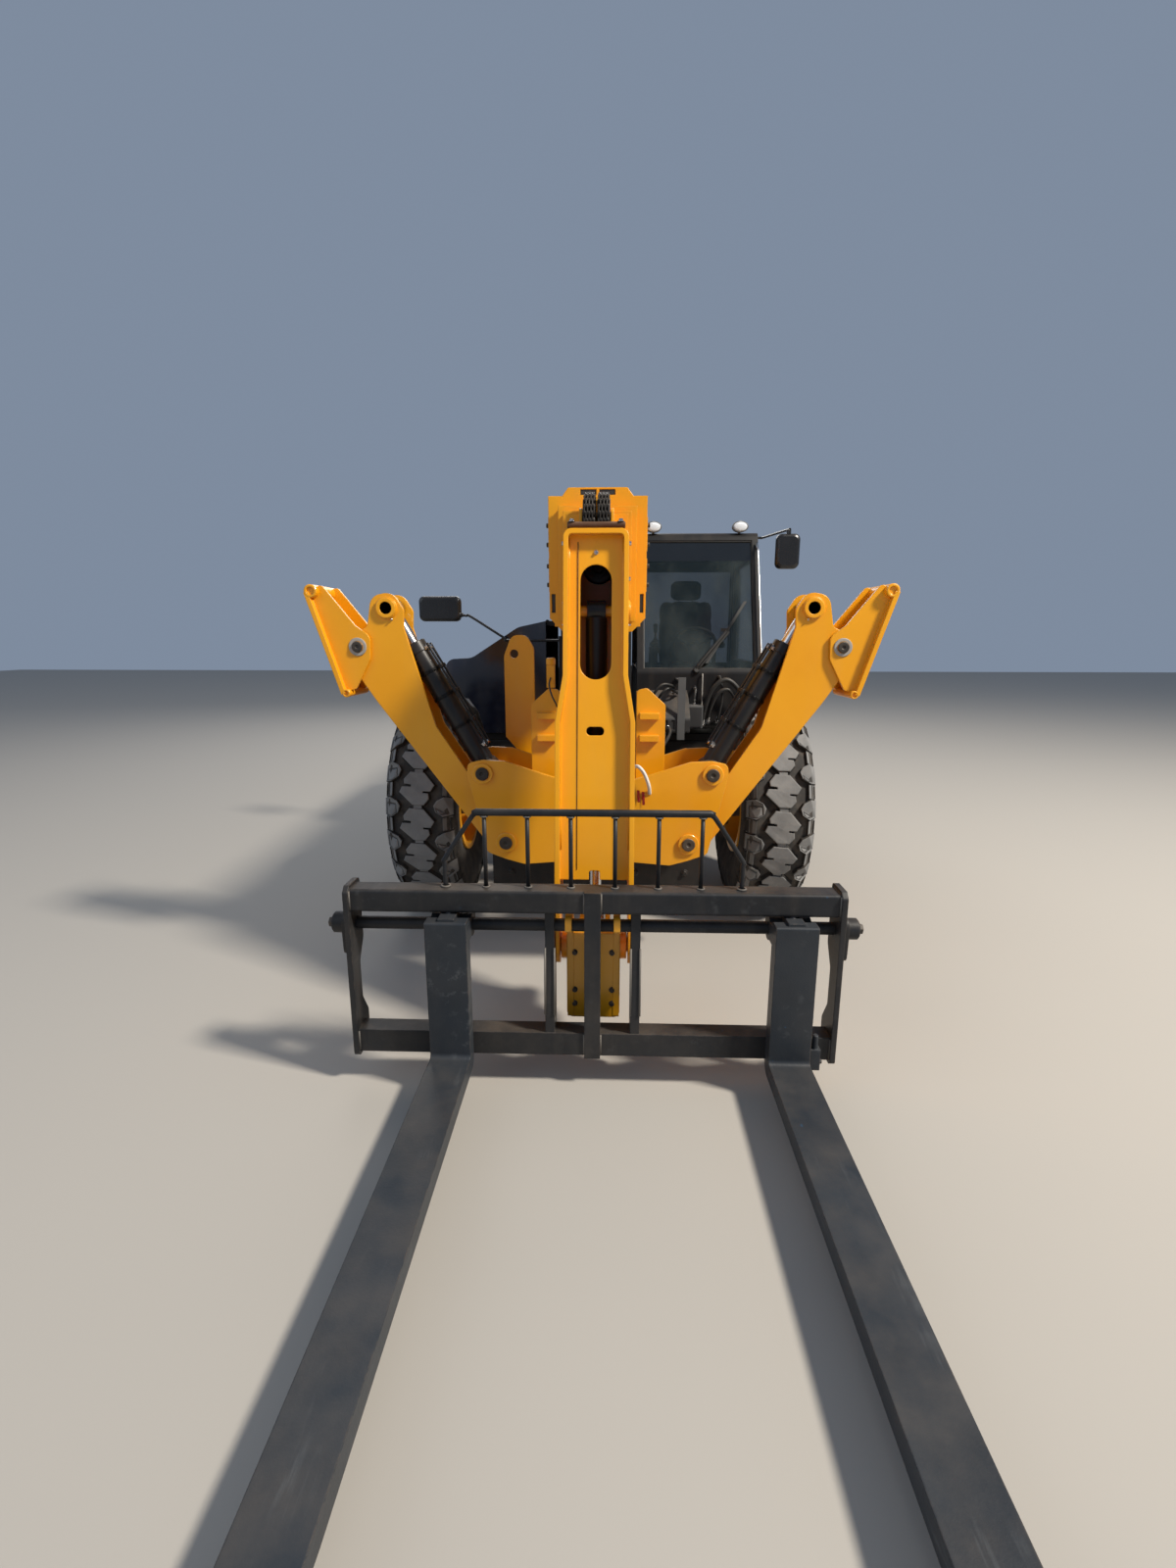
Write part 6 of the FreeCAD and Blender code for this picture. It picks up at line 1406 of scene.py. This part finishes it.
# %% Tank straps and caps
tank_bits = []
for side, outer, columns in ((1, 1.160, (-1.10, -1.24, -2.10)), (-1, 1.100, (-1.10, -1.98))):
    for column in columns:
        tank_bits.append(block((side * outer, column, 0.540),
                               (side * (outer + 0.005), column - 0.045, 0.884)))
        tank_bits.append(hex_bolt(spot(side * (outer + 0.005), column - 0.022, 0.860), (side, 0, 0), 0.009))
solid_from("tank_straps", tank_bits, "root", "cylinder_black")
caps = [lathe(profile, spot(-1.100, ahead, z), -LEFTWARD, segments) for profile, ahead, z, segments in (
    ([(0.0, 0.045), (0.014, 0.048), (0.026, 0.048), (0.030, 0.042)], -1.50, 0.760, 24),
    ([(0.0, 0.012), (0.050, 0.012)], -1.75, 0.620, 12), ([(0.0, 0.016), (0.006, 0.016)], -1.75, 0.700, 16))]
solid_from("tank_caps", caps, "root", "cab_plastic")
print("tank pieces", len(tank_bits) + len(caps))

# %% [markdown]
# ## Rear of the machine
# Behind the counterweight stands a towing jaw with its pin. The counterweight and the chassis have rows of
# bolts, and the towers beside the boom carry the pivot pin's keeper plates.

# %% Towing jaw and bolts
jaw = [block((-0.110, -4.085, 0.660), (0.110, -4.060, 0.765)),
       block((-0.070, -4.150, 0.720), (0.070, -4.275, 0.745)),
       block((-0.070, -4.150, 0.640), (0.070, -4.275, 0.665)),
       block((-0.075, -4.060, 0.635), (0.075, -4.165, 0.750)),
       lathe([(0.0, 0.016), (0.170, 0.016)], spot(0.0, -4.235, 0.610), UPWARD, 16),
       lathe([(0.0, 0.026), (0.012, 0.026)], spot(0.0, -4.235, 0.748), UPWARD, 16)]
solid_from("towing_jaw", jaw, "root", "cylinder_black")
# ahead and height of the bolts on the chassis
CHASSIS_BOLTS = [(0.78, 0.94), (0.66, 0.94), (0.78, 0.70), (0.60, 0.70), (-0.62, 0.92), (-0.62, 0.70),
                 (-1.50, 0.92), (-1.50, 0.66), (-2.30, 0.92), (-2.30, 0.66), (-3.86, 1.05), (-3.98, 1.05)]
TOWER_FACE, KEEPER_CIRCLE = 0.308, 0.068
bolts, keepers = [], []
for side in (-1, 1):
    outward = LEFTWARD * side
    for x in (0.32, 0.72):
        bolts.append(hex_bolt(spot(side * x, -4.130, 1.330), UPWARD, 0.020))
        bolts.append(hex_bolt(spot(side * x, -4.140, 0.760), -UPWARD, 0.020))
    bolts += [hex_bolt(spot(side * 0.290, ahead, z), outward, 0.014) for ahead, z in CHASSIS_BOLTS]
    pivot = spot(side * TOWER_FACE, BOOM_PIVOT_AHEAD, BOOM_PIVOT_Z)
    keepers += [lathe([(0.0, 0.052), (0.007, 0.052), (0.010, 0.046)], pivot, outward, 28),
                nipple(pivot + outward * 0.009, outward)]
    keepers += bolt_circle(pivot, outward, FORWARD, UPWARD, 3, KEEPER_CIRCLE, 0.010)
solid_from("chassis_bolts", bolts, "root", "pin_steel")
solid_from("pivot_keepers", keepers, "root", "pin_steel")
print("rear bolts", len(bolts))

# %% [markdown]
# ## Pipes along the boom
# Steel pipes run along the sides of the outer boom, held by small clamps. A hose that bridged the boom's
# pivot would tear when the boom lifts, so the pipes start and end on the boom.

# %% Boom pipes
# across and along the boom
PIPE_LINE = ((0.2005, 0.95), (0.2005, 2.40), (0.2005, 4.66), (0.184, 4.705))
CLAMP_FACE, CLAMP_HALF = 0.2115, 0.018
pipes, clamps = [], []
for side in (-1, 1):
    for above in (0.150, 0.120, 0.090):
        pipes.append(tube([on_boom(side * x, along, above) for x, along in PIPE_LINE], 0.008, 8, 1))
    for along in (1.15, 1.95, 2.75, 3.55, 4.35):
        clamps.append(box_part(on_boom(side * 0.189, along - CLAMP_HALF, 0.070),
                               on_boom(side * CLAMP_FACE, along + CLAMP_HALF, 0.172)))
        clamps.append(hex_bolt(on_boom(side * CLAMP_FACE, along, 0.135), (side, 0, 0), 0.0055))
solid_from("boom_pipes", pipes, "boom_outer", "cylinder_black", smooth=True)
solid_from("boom_pipe_clamps", clamps, "boom_outer", "cab_plastic")
print("boom pipes", len(pipes), "clamps", len(clamps) // 2)

# %% [markdown]
# ## Load guard and mirrors
# The guard behind the forks is bent from one thick bar with thin rods under it, so it is swept again with
# its true bars. The mirrors are rounded shells on bent arms.


# %% Load guard of bent bars
def guard_tube(radius, segments, steps, *places):
    return tube([spot(x, GUARD_AHEAD, z) for x, z in places], radius, segments, steps)


guard = [guard_tube(0.0080, 10, 1, (side * x, 0.793), (side * x, 1.072)) for side in (-1, 1)
         for x in GUARD_BARS]
guard += [guard_tube(0.0090, 10, 5, (side * 0.546, 0.793), (side * 0.546, 0.880), (side * 0.541, 0.905),
                     (side * 0.441, 1.058), (side * 0.424, 1.074)) for side in (-1, 1)]
guard.append(guard_tube(0.0135, 12, 1, (-0.434, 1.070), (-0.424, 1.076), (0.424, 1.076), (0.434, 1.070)))
guard_piece = solid_from("load_guard_bars", guard, "carriage", "carriage_paint", smooth=True)
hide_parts("load_guard")
print("guard bars", len(guard))

# %% Mirrors
MIRROR_ARM = 0.0095
SHELL_CORNER = 0.040
CORNER_STEPS = 6
# rings from the front to the rear: share of the depth, and how far they are set in
SHELL_RINGS = [(0.0, 0.022), (0.12, 0.010), (0.40, 0.002), (0.75, 0.0), (0.96, 0.0), (1.0, 0.003)]


def shell(middle_x, middle_z, half_width, half_height, front_ahead, rear_ahead):
    """A rounded shell, domed to the front: rings of a rounded rectangle, set in towards the front."""
    points = []
    for share, inset in SHELL_RINGS:
        ahead = front_ahead + (rear_ahead - front_ahead) * share
        radius = SHELL_CORNER - inset * 0.5
        for turn, (way_x, way_z) in enumerate(((1, 1), (-1, 1), (-1, -1), (1, -1))):
            x = middle_x + way_x * (half_width - inset - radius)
            z = middle_z + way_z * (half_height - inset - radius)
            for step in range(CORNER_STEPS + 1):
                angle = math.pi / 2 * (turn + step / CORNER_STEPS)
                points.append(spot(x + radius * math.cos(angle), ahead, z + radius * math.sin(angle)))
    return points, ring_faces(len(SHELL_RINGS), 4 * (CORNER_STEPS + 1))


left_mirror = [shell(1.292, 2.280, 0.083, 0.118, -0.700, -0.745),
               tube(spots((1.201, -1.370, 2.455), (1.232, -1.370, 2.455), (1.248, -1.350, 2.455),
                          (1.290, -0.760, 2.426), (1.292, -0.730, 2.420), (1.292, -0.724, 2.395)),
                    MIRROR_ARM, 10, 5),
               lathe([(0.0, 0.016), (0.030, 0.016)], spot(1.292, -0.723, 2.392), UPWARD, 14)]
right_mirror = [shell(-1.217, 1.898, 0.158, 0.092, -0.888, -0.933),
                tube(spots((-1.090, -0.910, 1.856), (-1.020, -0.910, 1.848), (-0.985, -0.908, 1.840),
                           (-0.740, -0.872, 1.690), (-0.700, -0.870, 1.668), (-0.326, -0.870, 1.668)),
                     MIRROR_ARM, 10, 5),
                lathe([(0.0, 0.016), (0.030, 0.016)], spot(-1.075, -0.910, 1.854), LEFTWARD, 14)]
for name, parts in (("left", left_mirror), ("right", right_mirror)):
    mirror = solid_from("mirror_shell_" + name, parts, "root", "mirror_shell")
    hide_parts("mirror_" + name)
print("mirrors ready")

# %% [markdown]
# ## Plate under the stabilizers, and the end inside the boom
# Below the stabilizers' frame a black plate closes the chassis, which keeps the ground out of sight there.
# Inside the inner boom, behind the open head, the end of the extension cylinder shows.

# %% Front plate and cylinder end
under = [block((-0.560, 0.800, 0.400), (0.560, 0.866, 0.640))]
for side in (-1, 1):
    gusset = mirrored(side, (0.252, 0.802, 0.430), (0.252, 0.802, 0.640), (0.252, 0.480, 0.640),
                      (0.252, 0.480, 0.600))
    under.append(slab(gusset, (side, 0, 0), 0.036))
under += [hex_bolt(spot(x, 0.866, 0.470), FORWARD, 0.013) for x in (-0.46, -0.20, 0.20, 0.46)]
solid_from("front_plate", under, "root", "black_paint")
PLUG_ALONG = 4.655
plug = [lathe([(-0.010, 0.057), (0.004, 0.057), (0.006, 0.075), (0.020, 0.075), (0.026, 0.066)],
              on_boom(0, PLUG_ALONG, 0), BOOM_AXIS, 24),
        hex_bolt(on_boom(0, PLUG_ALONG + 0.026, 0), BOOM_AXIS, 0.030)]
plug += [hex_bolt(on_boom(x, PLUG_ALONG, 0.090), BOOM_AXIS, 0.010) for x in (-0.080, 0.080)]
solid_from("cylinder_end", plug, "boom_inner", "cylinder_black")
print("plate with", len(under), "parts and cylinder end placed")

# %% [markdown]
# ## The lips of the feet
# The sole of each stabilizer foot ends in a rolled lip, large at its upper end and smaller at its lower
# one.

# %% Rolled lips
FOOT_MIDDLE_AHEAD = 1.015
# half of the foot's depth, to which the profile keeps
HALF = 0.1305
for side, side_name in SIDE_NAMES.items():
    lips = []
    for x, z, radius in ((1.313, 1.900, 0.030), (1.180, 1.436, 0.019)):
        profile = [(-HALF, 0.001), (-HALF, radius - 0.003), (0.003 - HALF, radius), (HALF - 0.003, radius),
                   (HALF, radius - 0.003), (HALF, radius * 0.62), (HALF - 0.008, radius * 0.55),
                   (HALF - 0.008, 0.001)]
        lips.append(lathe(profile, spot(side * x, FOOT_MIDDLE_AHEAD, z), FORWARD, 28))
    solid_from("foot_lips_" + side_name, lips, "foot_" + side_name, "yellow_paint")
print("feet with lips", len(SIDE_NAMES))
